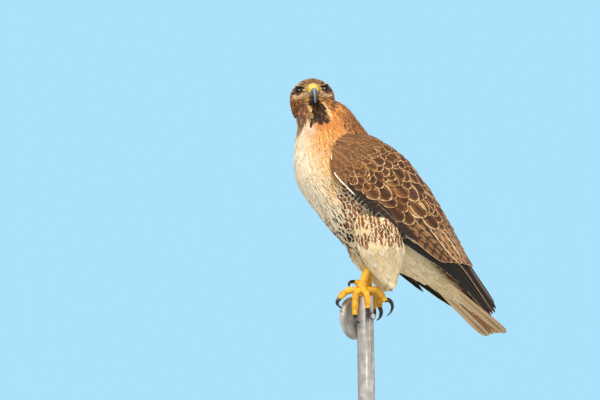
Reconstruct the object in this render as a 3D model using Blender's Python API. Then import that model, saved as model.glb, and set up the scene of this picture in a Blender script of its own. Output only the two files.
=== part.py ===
"""A red-tailed hawk on the cut end of a flagpole, life size, on a plain display stand.

Metres, +Z up. The origin is the centre of the base's underside and the pole stands on it.
The hawk faces -X with its head turned to its left, towards -Y and a little forward.
"""

import math

import bmesh
import bpy
from mathutils import Matrix, Vector

MM = 0.001
GAP = 0.3 * MM
MIRROR_Y = Matrix.Diagonal((1.0, -1.0, 1.0, 1.0))

# Driving dimensions: the stand and the cut length of pole
BASE_DIAMETER = 240 * MM
BASE_THICKNESS = 22 * MM
BASE_EDGE = 3 * MM
ROD_DIAMETER = 16 * MM
POLE_DIAMETER = 25.4 * MM
POLE_LENGTH = 170 * MM
FOOT_LEVEL = 250 * MM
POLE_TOP = FOOT_LEVEL - 4 * MM
POLE_FOOT = POLE_TOP - POLE_LENGTH
SLOT_WIDTH = 6 * MM
SLOT_LENGTH = 45 * MM
SLOT_DEPTH = 8 * MM
SHEAVE_OFFSET = 18.5 * MM
SHEAVE_DROP = 35 * MM
AXLE_DIAMETER = 6 * MM
AXLE_HEAD = 9 * MM

# Driving dimensions: the hawk
BODY_PITCH = math.radians(46)
BODY_ORIGIN = (-45, 206)
TORSO_TOP = 3.45
TORSO_END = 9.55
HEAD_CENTRE = (-86.5, -0.4, 306)
HEAD_TURN = math.radians(70.5)
HEAD_PITCH = math.radians(-8)
HEAD_ROLL = math.radians(4.5)
EYE_RADIUS = 7.2 * MM
EYE_SPREAD = 19.6
FACE_DROP = 3.6
TAIL_PITCH = math.radians(36)


def srgb(code):
    """A hex colour as the linear values that a shader takes."""
    parts = [int(code[i : i + 2], 16) / 255 for i in (0, 2, 4)]
    return [p / 12.92 if p <= 0.04045 else ((p + 0.055) / 1.055) ** 2.4 for p in parts] + [1.0]


def make_material(name, code, roughness, metallic=0.0):
    material = bpy.data.materials.new(name)
    material.use_nodes = True
    shader = material.node_tree.nodes["Principled BSDF"]
    shader.inputs["Base Color"].default_value = srgb(code)
    shader.inputs["Roughness"].default_value = roughness
    shader.inputs["Metallic"].default_value = metallic
    return material


# The scene, its collections and its materials
for old in list(bpy.data.objects):
    bpy.data.objects.remove(old)
PARTS = bpy.data.collections.new("red_tailed_hawk")
TOOLS = bpy.data.collections.new("cutters")
for made in (PARTS, TOOLS):
    bpy.context.scene.collection.children.link(made)
TOOLS.hide_render = True

BREAST = make_material("breast_feathers", "E9DDC6", 0.85)
NAPE = make_material("rufous_feathers", "C58A4A", 0.85)
BACK = make_material("brown_feathers", "6B4A32", 0.8)
RUFOUS = make_material("tail_feathers", "B98A5A", 0.75)
CREAM = make_material("thigh_feathers", "E3CC9C", 0.85)
CERE = make_material("cere_skin", "E3C63C", 0.5)
BILL = make_material("bill_horn", "4A5058", 0.3)
EYE = make_material("eye", "2A1710", 0.1)
SCALES = make_material("leg_scales", "F0B62C", 0.5)
CLAW = make_material("claw_horn", "1F1D20", 0.3)
STEEL = make_material("galvanised_steel", "C9C6C2", 0.45, 0.8)
PAINT = make_material("stand_paint", "3A3A3C", 0.5)


def keep_largest(mesh):
    """Leaves only the largest closed surface of a mesh."""
    bm = bmesh.new()
    bm.from_mesh(mesh)
    bm.faces.ensure_lookup_table()
    seen = set()
    islands = []
    for face in bm.faces:
        if face in seen:
            continue
        island, edge_of_search = [], [face]
        seen.add(face)
        while edge_of_search:
            here = edge_of_search.pop()
            island.append(here)
            for edge in here.edges:
                for other in edge.link_faces:
                    if other not in seen:
                        seen.add(other)
                        edge_of_search.append(other)
        islands.append(island)
    islands.sort(key=lambda faces: -sum(face.calc_area() for face in faces))
    loose = [face for island in islands[1:] for face in island]
    bmesh.ops.delete(bm, geom=loose, context="FACES")
    bm.to_mesh(mesh)
    bm.free()


def add_object(name, bm, material=None, matrix=None, helper=False):
    """A bmesh as an object, with its normals outward: a node of the model, or a helper."""
    bmesh.ops.remove_doubles(bm, verts=bm.verts, dist=0.00001)
    bmesh.ops.recalc_face_normals(bm, faces=bm.faces)
    if matrix is not None:
        bmesh.ops.transform(bm, matrix=matrix, verts=bm.verts)
        if matrix.determinant() < 0:
            bmesh.ops.reverse_faces(bm, faces=bm.faces)
    mesh = bpy.data.meshes.new(name)
    bm.to_mesh(mesh)
    bm.free()
    made = bpy.data.objects.new(name, mesh)
    (TOOLS if helper else PARTS).objects.link(made)
    made.hide_render = helper
    if helper:
        made.display_type = "WIRE"
    if material is not None:
        mesh.materials.append(material)
    return made


def apply_modifiers(made):
    """The evaluated mesh takes the place of the mesh and its modifiers."""
    graph = bpy.context.evaluated_depsgraph_get()
    mesh = bpy.data.meshes.new_from_object(made.evaluated_get(graph))
    made.modifiers.clear()
    made.data = mesh


def fuse(made, pieces, solver="MANIFOLD"):
    """Joins closed pieces to a node in one union and removes them."""
    group = bpy.data.collections.new(made.name + "_pieces")
    bpy.context.scene.collection.children.link(group)
    for piece in pieces:
        group.objects.link(piece)
    union = made.modifiers.new("union", "BOOLEAN")
    union.operation = "UNION"
    union.operand_type = "COLLECTION"
    union.collection = group
    union.solver = solver
    apply_modifiers(made)
    for piece in pieces:
        bpy.data.objects.remove(piece)
    bpy.data.collections.remove(group)


def cut(made, cutters, solver="MANIFOLD"):
    """Takes the cutters away from a node and keeps its largest closed surface."""
    for cutter in cutters:
        difference = made.modifiers.new("cut", "BOOLEAN")
        difference.operation = "DIFFERENCE"
        difference.object = cutter
        difference.solver = solver
    apply_modifiers(made)
    keep_largest(made.data)


def round_shading(made, angle=35):
    made.data.shade_smooth()
    made.data.set_sharp_from_angle(angle=math.radians(angle))


def at_foot_level(x, y, z):
    """A point given in millimetres from the place where the hawk grips the pole."""
    return Vector((x * MM, y * MM, FOOT_LEVEL + z * MM))


def body_point(along, above, side):
    """A point given in millimetres along the body's axis, above it and sideways."""
    x = BODY_ORIGIN[0] + along * math.cos(BODY_PITCH) + above * math.sin(BODY_PITCH)
    z = BODY_ORIGIN[1] - along * math.sin(BODY_PITCH) + above * math.cos(BODY_PITCH)
    return at_foot_level(x, side, z)


def smooth_row(rows, k):
    """Rows of numbers read at a fractional index k, along a smooth curve through them."""
    i = min(int(math.floor(k)), len(rows) - 2)
    i = max(i, 0)
    u = k - i
    before, here, there = rows[max(i - 1, 0)], rows[i], rows[i + 1]
    after = rows[min(i + 2, len(rows) - 1)]
    found = []
    for a, b, c, d in zip(before, here, there, after):
        found.append(
            b + 0.5 * u * (c - a + u * (2 * a - 5 * b + 4 * c - d + u * (3 * (b - c) + d - a)))
        )
    return found


def spread(first, last, count):
    """count numbers from first to last, evenly spaced."""
    return [first + (last - first) * i / (count - 1) for i in range(count)]


def loft(rings):
    """A closed body through rings of points, with both ends capped.

    The two halves of a ring turn their triangles opposite ways, so that the faces of a thin body match.
    """
    bm = bmesh.new()
    loops = [[bm.verts.new(point) for point in ring] for ring in rings]
    count = len(loops[0])
    for ring, following in zip(loops, loops[1:]):
        for i in range(count):
            j = (i + 1) % count
            if i < count / 2:
                bm.faces.new((ring[i], ring[j], following[j]))
                bm.faces.new((ring[i], following[j], following[i]))
            else:
                bm.faces.new((ring[i], ring[j], following[i]))
                bm.faces.new((ring[j], following[j], following[i]))
    bm.faces.new(loops[0])
    bm.faces.new(list(reversed(loops[-1])))
    return bm


def oval(angle, half_width, up, down, roundness):
    """A point of an oval that is as wide as half_width, and differs above and below its middle."""
    c, s = math.cos(angle), math.sin(angle)
    power = 2 / roundness
    across = half_width * math.copysign(abs(c) ** power, c)
    return across, (up if s > 0 else down) * math.copysign(abs(s) ** power, s)


# Neck and torso: one loft, parted by thin cuts
# Each section has its front's x and z, its back's x and z, its half width and its widest place
TRUNK = [
    (-99, 303, -74, 312, 9, 0.50),
    (-108.5, 291, -59.5, 306, 20, 0.52),
    (-112, 273, -41, 296, 33, 0.50),
    (-108.5, 253, -25, 284, 43, 0.48),
    (-113, 218, -7, 261, 52, 0.51),
    (-107, 165, 11, 240, 60, 0.55),
    (-68, 114, 38, 214, 64, 0.55),
    (-33, 78, 69, 177, 61, 0.56),
    (-4, 58, 87, 146, 54, 0.58),
    (33, 45.5, 102, 111.5, 42, 0.58),
    (71.5, 33.5, 116, 77, 32, 0.58),
    (107, 19.5, 132, 43, 26, 0.58),
]
TRUNK_SIDES = 24


def trunk_ring(k, grow=0.0, shift=0.0):
    """The oval section of neck and torso at station k, wider all round by grow, moved along by shift."""
    front_x, front_z, back_x, back_z, side, widest = smooth_row(TRUNK, k)
    front, back = at_foot_level(front_x, 0, front_z), at_foot_level(back_x, 0, back_z)
    dorsal = (back - front).normalized()
    axis = Vector((dorsal.z, 0, -dorsal.x))
    depth = (back - front).length
    centre = front.lerp(back, widest) + axis * shift
    ring = []
    for i in range(TRUNK_SIDES):
        angle = math.tau * (i + 0.5) / TRUNK_SIDES
        y, up = oval(angle, side * MM + grow, depth * (1 - widest) + grow, depth * widest + grow, 2.2)
        ring.append(centre + Vector((0, y, 0)) + dorsal * up)
    return ring


def trunk(first, last, count, grow=0.0):
    rings = [trunk_ring(k, grow) for k in spread(first, last, count)]
    if grow:
        rings = [trunk_ring(first, grow, -grow), *rings, trunk_ring(last, grow, grow)]
    return loft(rings)


# Head: sections from the nape to the root of the bill, in the head's own frame
# Each has its place forward of the centre, the half width, and the height above and below
HEAD = [
    (-41, 7, 7, 9),
    (-37, 18, 16, 20),
    (-26, 29, 24, 33),
    (-9, 35, 27, 41),
    (4, 33.5, 26.5, 41),
    (12, 28.5, 24.5, 38),
    (18, 20.5, 21.5, 32),
    (24, 13.5, 17.5, 25),
    (30, 10.5, 13.5, 17.5),
    (36, 8, 10, 12),
]
HEAD_SIDES = 20
CHEEK = 0.16
HEAD_FRAME = (
    Matrix.Translation(at_foot_level(*HEAD_CENTRE))
    @ Matrix.Rotation(math.pi + HEAD_TURN, 4, "Z")
    @ Matrix.Rotation(-HEAD_PITCH, 4, "Y")
    @ Matrix.Rotation(HEAD_ROLL, 4, "X")
)
EYE_PLACES = [Vector((14.2, side * EYE_SPREAD, 7.8 - FACE_DROP)) * MM for side in (1, -1)]
EYE_AIM = Vector((0.76, 0.65, 0.02)).normalized()


def head_ring(k, grow=0.0, shift=0.0):
    forward, half_width, up, down = smooth_row(HEAD, k)
    ring = []
    for i in range(HEAD_SIDES):
        angle = math.tau * (i + 0.5) / HEAD_SIDES
        wide = half_width * (1 - CHEEK * math.sin(angle)) * MM + grow
        y, z = oval(angle, wide, up * MM + grow, down * MM + grow, 2.15)
        ring.append(Vector((forward * MM + shift, y, z)))
    return ring


def head_body(grow=0.0):
    last = len(HEAD) - 1
    rings = [head_ring(k, grow) for k in spread(0, last, 16)]
    rings[0] = head_ring(0, grow, -grow)
    rings[-1] = head_ring(last, grow, grow)
    return loft(rings)


def ball(name, centre, radius, segments=16, rings=10, matrix=None, stretch=(1, 1, 1), helper=True):
    bm = bmesh.new()
    bmesh.ops.create_uvsphere(bm, u_segments=segments, v_segments=rings, radius=radius)
    bmesh.ops.scale(bm, vec=Vector(stretch), verts=bm.verts)
    bmesh.ops.translate(bm, vec=centre, verts=bm.verts)
    return add_object(name, bm, matrix=matrix, helper=helper)


def turned_tube(name, points, radii, sides_level=2, material=None, helper=False, matrix=None):
    """A tapering tube along points, as a curve with a bevel, made a closed mesh."""
    curve = bpy.data.curves.new(name + "_line", "CURVE")
    curve.dimensions = "3D"
    curve.bevel_depth = 1.0
    curve.bevel_resolution = sides_level
    curve.use_fill_caps = True
    spline = curve.splines.new("POLY")
    spline.points.add(len(points) - 1)
    for place, point, radius in zip(spline.points, points, radii):
        place.co = (*point, 1.0)
        place.radius = radius
    guide = bpy.data.objects.new(name + "_line", curve)
    bpy.context.scene.collection.objects.link(guide)
    graph = bpy.context.evaluated_depsgraph_get()
    mesh = bpy.data.meshes.new_from_object(guide.evaluated_get(graph))
    bpy.data.objects.remove(guide)
    bm = bmesh.new()
    bm.from_mesh(mesh)
    return add_object(name, bm, material, matrix, helper)


def smooth_path(rows, count):
    """count points and radii along a smooth curve through rows of x, y, z and radius, in millimetres."""
    found = [smooth_row(rows, k) for k in spread(0, len(rows) - 1, count)]
    return [at_foot_level(*row[:3]) for row in found], [row[3] * MM for row in found]


torso = add_object("torso", trunk(TORSO_TOP, TORSO_END, 19), BREAST)
round_shading(torso)

neck_rings = [trunk_ring(k) for k in spread(0, TORSO_TOP, 10)]
neck_rings[-1] = trunk_ring(TORSO_TOP, 0.0, -GAP)
neck = add_object("neck", loft(neck_rings), NAPE)

torso_grown = add_object("torso_grown", trunk(TORSO_TOP, TORSO_END, 19, GAP), helper=True)
neck_grown = add_object("neck_grown", trunk(0, TORSO_TOP, 10, GAP), helper=True)
head_grown = add_object("head_grown", head_body(GAP), matrix=HEAD_FRAME, helper=True)
cut(neck, [head_grown])
round_shading(neck)

# Head: the feathered form, with brow ridges and lids, cut out for the eyes
head = add_object("head", head_body(), BREAST)
brows, lids, sockets = [], [], []
for place, side in zip(EYE_PLACES, (1, -1)):
    aim = Vector((EYE_AIM.x, side * EYE_AIM.y, EYE_AIM.z))
    brow = ball("brow", Vector(), 1 * MM, 10, 6, stretch=(12, 4.6, 2.6))
    brow.matrix_world = (
        Matrix.Translation(Vector((15.0, side * 20.0, 15.6 - FACE_DROP)) * MM)
        @ Matrix.Rotation(-side * math.radians(42), 4, "Z")
        @ Matrix.Rotation(math.radians(12), 4, "Y")
    )
    brows.append(brow)
    bm = bmesh.new()
    bmesh.ops.create_cone(
        bm, cap_ends=True, segments=14, radius1=9.2 * MM, radius2=7.6 * MM, depth=5 * MM
    )
    tilt = Matrix.Translation(place + aim * 2.3 * MM) @ aim.to_track_quat("Z", "Y").to_matrix().to_4x4()
    lids.append(add_object("lid", bm, matrix=tilt, helper=True))
    sockets.append(ball("socket", place, EYE_RADIUS + GAP, 14, 8))
fuse(head, brows + lids)
cut(head, sockets)
for socket in sockets:
    bpy.data.objects.remove(socket)

# Eyes
for place, name in zip(EYE_PLACES, ("eye_left", "eye_right")):
    eye = ball(name, place, EYE_RADIUS, 14, 8, HEAD_FRAME, helper=False)
    eye.data.materials.append(EYE)
    round_shading(eye)

# Cere, nostrils and the two halves of the bill
# Each cere station has its place forward, the half width, the top and the bottom
CERE_STATIONS = [(28, 10, 13.6, -8), (34, 9.4, 12.2, -8.8), (39, 8.4, 9.4, -9.4), (43.5, 7.2, 6.4, -9.6)]
BILL_ARC_CENTRE = Vector((42.5, 0, -17.6))
BILL_ARC_RADIUS = 16
BILL_TURN = math.radians(106)
BILL_ROOT = (6.6, 7.8)
BILL_TIP = (0.7, 0.8)


def cere_ring(row, grow=0.0, shift=0.0):
    forward, half_width, top, bottom = row
    middle, half_height = (top + bottom) / 2, (top - bottom) / 2
    ring = []
    for i in range(14):
        angle = math.tau * (i + 0.5) / 14
        y, z = oval(angle, half_width * MM + grow, half_height * MM + grow, half_height * MM + grow, 2.1)
        ring.append(Vector((forward * MM + shift, y, middle * MM + z)))
    return ring


def cere_body(grow=0.0):
    rings = [cere_ring(row, grow) for row in CERE_STATIONS]
    rings[0] = cere_ring(CERE_STATIONS[0], grow, -grow)
    rings[-1] = cere_ring(CERE_STATIONS[-1], grow, grow)
    return loft(rings)


def bill_ring(u, grow=0.0):
    """The hooked upper bill's oval section, at a share u of its curve from root to tip."""
    angle = u * BILL_TURN
    outward = Vector((math.sin(angle), 0, math.cos(angle)))
    centre = (BILL_ARC_CENTRE + outward * BILL_ARC_RADIUS) * MM
    taper = (1 - u) ** 0.85
    half_width = BILL_TIP[0] + (BILL_ROOT[0] - BILL_TIP[0]) * taper
    half_height = BILL_TIP[1] + (BILL_ROOT[1] - BILL_TIP[1]) * taper
    ring = []
    for i in range(12):
        y, up = oval(math.tau * (i + 0.5) / 12, half_width * MM + grow, half_height * MM + grow,
                     half_height * MM + grow, 2.0)
        ring.append(centre + Vector((0, y, 0)) + outward * up)
    return ring


cere = add_object("cere", cere_body(), CERE)
head_cutter = add_object("head_cutter", head_body(GAP), helper=True)
cut(cere, [head_cutter])
nostrils = [
    ball("nostril", Vector((38.5, side * 8.4, 8.4 - FACE_DROP)) * MM, 1.0 * MM, 10, 6, stretch=(2.3, 1.7, 1.5))
    for side in (1, -1)
]
cut(cere, nostrils)

bill_upper = add_object("bill_upper", loft([bill_ring(u) for u in spread(0, 1, 10)]), BILL)
cere_cutter = add_object("cere_cutter", cere_body(GAP), helper=True)
cut(bill_upper, [cere_cutter, head_cutter])

# Lower bill: a shallow scoop behind the hook, with the yellow gape at its root
BILL_LOWER = [
    (24, 14.5, -12.6, 2.4),
    (31, 11.0, -12.4, 2.9),
    (38, 7.6, -12.8, 3.2),
    (46, 4.8, -14.2, 2.6),
    (50, 2.4, -15.2, 1.5),
]


def scoop_body(grow=0.0):
    rings = []
    for forward, half_width, middle, half_height in BILL_LOWER:
        wide, high = half_width * MM + grow, half_height * MM + grow
        ring = []
        for i in range(12):
            y, z = oval(math.tau * (i + 0.5) / 12, wide, high, high, 2.0)
            ring.append(Vector((forward * MM, y, middle * MM + z)))
        rings.append(ring)
    return loft(rings)


bill_lower = add_object("bill_lower", scoop_body(), BILL)
bill_cutter = add_object("bill_cutter", loft([bill_ring(u, GAP) for u in spread(0, 1, 10)]), helper=True)
cut(bill_lower, [head_cutter, cere_cutter, bill_cutter])

neck_cutters = [add_object("scoop_cutter", scoop_body(GAP), matrix=HEAD_FRAME, helper=True)]
for place in EYE_PLACES:
    neck_cutters.append(ball("lid_cutter", place, EYE_RADIUS + 3.6 * MM, matrix=HEAD_FRAME))
cut(neck, neck_cutters)

for made in (head, cere, bill_upper, bill_lower):
    made.data.transform(HEAD_FRAME)
    round_shading(made)
head.data.materials.clear()
head.data.materials.append(NAPE)

# Wings: a surface across four rails, from the wrist to the tip, given for the left wing
# Each rail point is in millimetres along the body's axis, above it and sideways
LOW_RAIL = [
    (-14, -34, -56), (10, -50, -59), (45, -51, -62), (90, -44, -63),
    (146, -31, -60), (200, -12, -56), (254, 6, -50), (344, 23, -31),
]
OUTER_RAIL = [
    (-26, -16, -58), (0, -10, -72), (45, 5, -79), (95, 14, -77),
    (150, 20, -69), (205, 25, -60), (258, 29, -48), (344, 30, -27),
]
UPPER_RAIL = [
    (-26, 10, -54), (8, 36, -63), (55, 57, -61), (108, 62, -54),
    (165, 59, -45), (215, 52, -37), (260, 46, -31), (344, 39, -23),
]
BACK_RAIL = [
    (-16, 32, -46), (12, 62, -26), (60, 74, -7), (111, 75, -2.5),
    (172, 67.5, -2.5), (222, 61, -4), (262, 54, -12), (344, 41, -20),
]
RAILS = (LOW_RAIL, OUTER_RAIL, UPPER_RAIL, BACK_RAIL)
WING_END = 5.3
WING_DEPTH = 25
WING_EDGE = 4


def wing_point(s, t):
    """The wing's outer surface in millimetres, at s from wrist to tip and t from low rail to back rail."""
    return Vector(smooth_row([smooth_row(rail, s) for rail in RAILS], t))


def wing_normal(s, t):
    step = 0.02
    along = wing_point(s + step, t) - wing_point(s - step, t)
    across = wing_point(s, min(t + step, 3)) - wing_point(s, max(t - step, 0))
    return across.cross(along).normalized()


def wing_depth(s, t):
    """How far the wing's solid reaches in from its outer surface, in millimetres: thin at its edges."""
    middle = math.sin(math.pi * min(max(t / 3, 0.0), 1.0)) ** 0.5
    ends = min(1.0, 0.35 + s * 0.65) * min(1.0, max(0.0, (WING_END + 0.35 - s) / 2.2))
    back = 9 if t > 2.4 and s < 4.6 else 0
    return WING_EDGE * 0.6 + max(back, WING_DEPTH * middle) * ends


def wing_core(grow=0.0, outset=0.0, skirt=0.0):
    """The wing's arm and inner half as one closed body. A grown one is a cutter for its neighbours."""
    rings = []
    for s in spread(0, WING_END, 12):
        outer = [wing_point(s, t) + wing_normal(s, t) * (outset + grow) for t in spread(0, 3, 8)]
        inner = [wing_point(s, t) - wing_normal(s, t) * (wing_depth(s, t) + grow) for t in spread(0, 3, 5)]
        low = (outer[0] - outer[1]).normalized() * skirt
        outer[0] = outer[0] + low
        inner[0] = inner[0] + low
        rings.append([body_point(*p) for p in outer + list(reversed(inner))])
    return loft(rings)


def blade(stations):
    """A feather as a flat closed blade through stations of centre, across, up, half width, top and bottom."""
    rings = []
    for centre, across, up, half_width, top, bottom in stations:
        left, right = centre - across * half_width, centre + across * half_width
        corners = (left + up * top, right + up * top, right + up * bottom, left + up * bottom)
        rings.append([body_point(*corner) for corner in corners])
    return loft(rings)


# Shares of a feather's length, with its width there as a share of its full width
COVERT_SHAPE = ((0.0, 0.7), (0.6, 1.0), (1.0, 0.45))
FLIGHT_SHAPE = ((0.0, 0.7), (0.45, 1.0), (0.85, 0.85), (1.0, 0.2))
# Tiers of coverts: count, root and tip station, first and last t, half width, height at root and tip, thickness
COVERT_TIERS = [
    (4, 0.55, 1.85, 0.4, 1.95, 9.5, (-1.2, 1.3), 4.0),
    (5, 1.7, 3.0, 0.3, 2.0, 9.5, (-1.2, 1.5), 4.0),
    (6, 2.85, 4.2, 0.2, 2.0, 9.0, (-1.2, 1.5), 4.0),
    (2, 0.9, 2.45, 2.45, 2.8, 11.0, (-1.0, 1.8), 4.0),
    (3, 2.2, 3.8, 2.3, 2.85, 12.0, (-1.0, 1.9), 4.0),
]
# Flight feathers: t at root and tip, station of the tip, half width and height of the top
# The right wing hangs a little looser: how far the tips of its primaries drop
DROOP = {"left": (0, 0, 0, 0, 0), "right": (17, 9, 3, 0, 0)}
PRIMARIES = [
    (0.12, 0.10, 6.30, 7.0, -2.5),
    (0.35, 0.32, 6.62, 8.0, -2.1),
    (0.60, 0.70, 6.86, 8.5, -1.7),
    (0.90, 1.30, 7.00, 8.5, -1.3),
    (1.20, 1.90, 6.90, 8.5, -0.9),
]
SECONDARIES = [
    (0.45, 0.50, 5.52, 8.0, 0.1),
    (0.85, 0.95, 5.61, 9.0, 0.5),
    (1.25, 1.40, 5.70, 9.5, 0.9),
    (1.65, 1.85, 5.79, 10.0, 1.3),
    (2.10, 2.35, 5.92, 11.5, 1.7),
    (2.60, 2.72, 5.80, 12.0, 2.1),
]


def wing_vane(root, tip, half_width, shape, heights, thickness, tilt, droop=0):
    """A feather laid on the wing from root to tip, each a station and a t.

    Its lower edge is raised by tilt, and its tip hangs below the wing's surface by droop.
    """
    stations = []
    for share, wide in shape:
        s = root[0] + (tip[0] - root[0]) * share
        t = root[1] + (tip[1] - root[1]) * share
        up = wing_normal(s, t)
        ahead = wing_point(s + 0.05, t) - wing_point(s - 0.05, t)
        across = up.cross(ahead).normalized()
        top = heights[0] + (heights[1] - heights[0]) * share
        centre = wing_point(s, t) - Vector((0, droop * share * share, 0))
        stations.append(
            (centre, (across + up * tilt).normalized(), up, half_width * wide, top, top - thickness)
        )
    return blade(stations)


def wing_feathers(side, matrix):
    """The tiers of coverts and flight feathers of one wing, which matrix places."""
    vanes = []
    for count, root, tip, first, last, half_width, heights, thickness in COVERT_TIERS:
        for i, t in enumerate(spread(first, last, count)):
            end = (tip + 0.06 * math.sin(2.4 * i), t * 0.97 + 0.03)
            vanes.append(wing_vane((root, t), end, half_width, COVERT_SHAPE, heights, thickness, 0.05))
    for (root_t, tip_t, tip, half_width, top), droop in zip(PRIMARIES, DROOP[side]):
        ends = (4.2, root_t), (tip, tip_t)
        vanes.append(wing_vane(*ends, half_width, FLIGHT_SHAPE, (top, top), 1.2, 0.05, droop))
    for root_t, tip_t, tip, half_width, top in SECONDARIES:
        heights = (top - 2.0, top)
        vanes.append(wing_vane((3.6, root_t), (tip, tip_t), half_width, FLIGHT_SHAPE, heights, 1.7, 0.04))
    return [add_object("feather", vane, matrix=matrix, helper=True) for vane in vanes]


def far_side(matrix):
    """Everything past the midline, less half the gap, for the wing that matrix places."""
    bm = bmesh.new()
    bmesh.ops.create_cube(bm, size=1)
    bmesh.ops.translate(bm, vec=(0, 0.5 - GAP / 2, 0), verts=bm.verts)
    return add_object("far_side", bm, matrix=matrix, helper=True)


for side, flip in (("left", None), ("right", MIRROR_Y)):
    wing = add_object("wing_" + side, wing_core(), BACK, flip)
    fuse(wing, wing_feathers(side, flip))
    cut(wing, [torso_grown, neck_grown, far_side(flip)])

# Tail: coverts that taper over twelve feathers, stacked from the middle pair down
TAIL_COVERTS = [(26, 17), (28, 12.5), (24, 7.5), (12, 2.5)]
TAIL_COVERT_LENGTH = 82
TAIL_ROOT = 150
TAIL_SPACING = (2.5, 8, 13, 17.5, 22, 26)
TAIL_DROP = (0, 1.3, 2.9, 4.7, 6.8, 9.2)
TAIL_SHAPE = ((0.0, 0.6), (0.35, 0.85), (0.8, 1.0), (0.95, 0.8), (1.0, 0.4))
TAIL_TIP = (382, 28)


def tail_point(back, side, up):
    """A point in millimetres from the tail's tip back towards its root, sideways and above."""
    swing = BODY_PITCH - TAIL_PITCH
    along = TAIL_TIP[0] - back * math.cos(swing) - up * math.sin(swing)
    above = TAIL_TIP[1] - back * math.sin(swing) + up * math.cos(swing)
    return body_point(along, above, side)


def tail_feather(side, i):
    """Feather i from the middle of one side of the tail."""
    root, tip = TAIL_ROOT - 18, 1.2 * i
    rings = []
    for share, wide in TAIL_SHAPE:
        back = root + (tip - root) * share
        drop = -TAIL_DROP[i] * (0.5 + 0.5 * share)
        middle = side * TAIL_SPACING[i] * (0.65 + 0.35 * share)
        half_width, lean = 15 * wide, -side * 0.9
        corners = ((-1, 0.6), (1, 0.6), (1, -0.6), (-1, -0.6))
        rings.append([tail_point(back, middle + a * half_width, drop + up + a * lean) for a, up in corners])
    return loft(rings)


def tail_cover(grow=0.0):
    """The coverts that taper over the tail's root."""
    rings = [trunk_ring(TORSO_END, grow, GAP - grow)]
    for share in (0.2, 0.4, 0.6, 0.8, 1.0):
        half_width, half_height = smooth_row(TAIL_COVERTS, share * 3)
        wide, high = half_width + grow / MM, half_height + grow / MM
        back = TAIL_ROOT - TAIL_COVERT_LENGTH * share
        ring = []
        for i in range(TRUNK_SIDES):
            y, up = oval(math.tau * (i + 0.5) / TRUNK_SIDES, wide, high, high, 2.4)
            ring.append(tail_point(back, y, up - 2))
        rings.append(ring)
    return loft(rings)


tail = add_object("tail", tail_cover(), RUFOUS)
tail_vanes = [tail_feather(side, i) for i in range(6) for side in (1, -1)]
fuse(tail, [add_object("feather", vane, helper=True) for vane in tail_vanes])
cut(tail, [torso_grown])

# Thighs: long feathering that hangs behind the shank
# Each station has the height, the centre's x and y, and the half sizes along x and y
THIGH = [
    (118, 2, -30, 40, 34),
    (100, 5, -35, 43, 33),
    (80, 8, -37, 42, 30),
    (60, 12, -36, 39, 26),
    (44, 17, -32, 32, 20),
    (30, 21, -29, 23, 14),
    (17, 27, -28, 14, 8),
    (7, 32, -28, 5, 3.5),
]
THIGH_SETBACK = 22


def thigh_body(grow=0.0, setback=0.0):
    """One thigh as for the left side. setback moves its lower end back."""
    rings = []
    for k in spread(0, len(THIGH) - 1, 11):
        z, x, y, half_length, half_width = smooth_row(THIGH, k)
        x += setback * min(1.0, (118 - z) / 40)
        ring = []
        for i in range(14):
            angle = math.tau * (i + 0.5) / 14
            ring.append(
                at_foot_level(x, y, z)
                + Vector(
                    (
                        (half_length * MM + grow) * math.cos(angle),
                        (half_width * MM + grow) * math.sin(angle),
                        0,
                    )
                )
            )
        rings.append(ring)
    return loft(rings)


tail_grown = add_object("tail_grown", tail_cover(GAP), helper=True)
for side, flip, setback in (("left", None, 0.0), ("right", MIRROR_Y, THIGH_SETBACK)):
    thigh = add_object("thigh_" + side, thigh_body(0.0, setback), CREAM, flip)
    wing_grown = add_object("wing_grown", wing_core(0.5, 4.0, 7.0), matrix=flip, helper=True)
    cut(thigh, [torso_grown, wing_grown, tail_grown])
    round_shading(thigh)

# Legs: shank and foot pad, then toes and claws, each a tapering tube in millimetres from the grip
SHANKS = {
    "left": [(6, -32, 84, 6.5), (2, -26, 58, 5.6), (-3, -19, 38, 5.4), (-7, -11, 19, 6.0), (-9, -7, 7, 7.6),
             (-9, -6, 3.6, 6.6)],
    "right": [(16, 32, 84, 6.5), (17, 27, 58, 5.6), (16, 21, 38, 5.4), (12, 14, 21, 6.0), (9, 9.5, 9, 7.4),
              (9, 9, 4.0, 6.4)],
}
TOES = {
    "left": {
        1: [(-2, -6, 5.5, 5.4), (10, -6, 6.5, 5.2), (20, -6, 3.5, 5.6), (27, -5, -3.5, 5.0), (31, -5, -10, 5.2)],
        2: [(-12, -3, 4.5, 5.4), (-22, 0, 5.0, 5.0), (-31, 2, 1.5, 5.2), (-38, 3, -4.5, 4.6), (-41.5, 3, -9, 4.6)],
        3: [(-13, -8, 4.5, 5.4), (-18.8, -8, -3, 5.0), (-19.2, -6, -12, 5.2), (-19, -4, -24, 4.6),
            (-18.6, -3.5, -33, 4.4)],
        4: [(-9, -12, 4.5, 5.2), (-7, -18.5, -2, 4.6), (-6, -19.6, -10, 4.8), (-5.5, -19.4, -18, 4.2),
            (-5, -19, -24, 4.2)],
    },
    "right": {
        1: [(14, 9, 6.5, 5.2), (22, 11, 4.5, 5.0), (28, 13, -2, 5.2), (31, 14, -11, 4.6), (31, 14, -17, 4.6)],
        2: [(6, 13, 8, 5.2), (1.5, 17.5, 14, 4.8), (-3, 20, 19.5, 4.6), (-7.5, 21, 21.5, 3.8)],
        3: [(9, 15, 6, 5.2), (8, 25, 4.5, 5.0), (6, 33, -3, 5.2), (5, 35.5, -14, 4.6), (5, 35, -23, 4.4)],
        4: [(14, 15, 6.5, 5.0), (21, 22, 4.5, 4.6), (27, 27, -3, 4.8), (29, 28.5, -12, 4.2), (29, 28, -19, 4.2)],
    },
}
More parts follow.
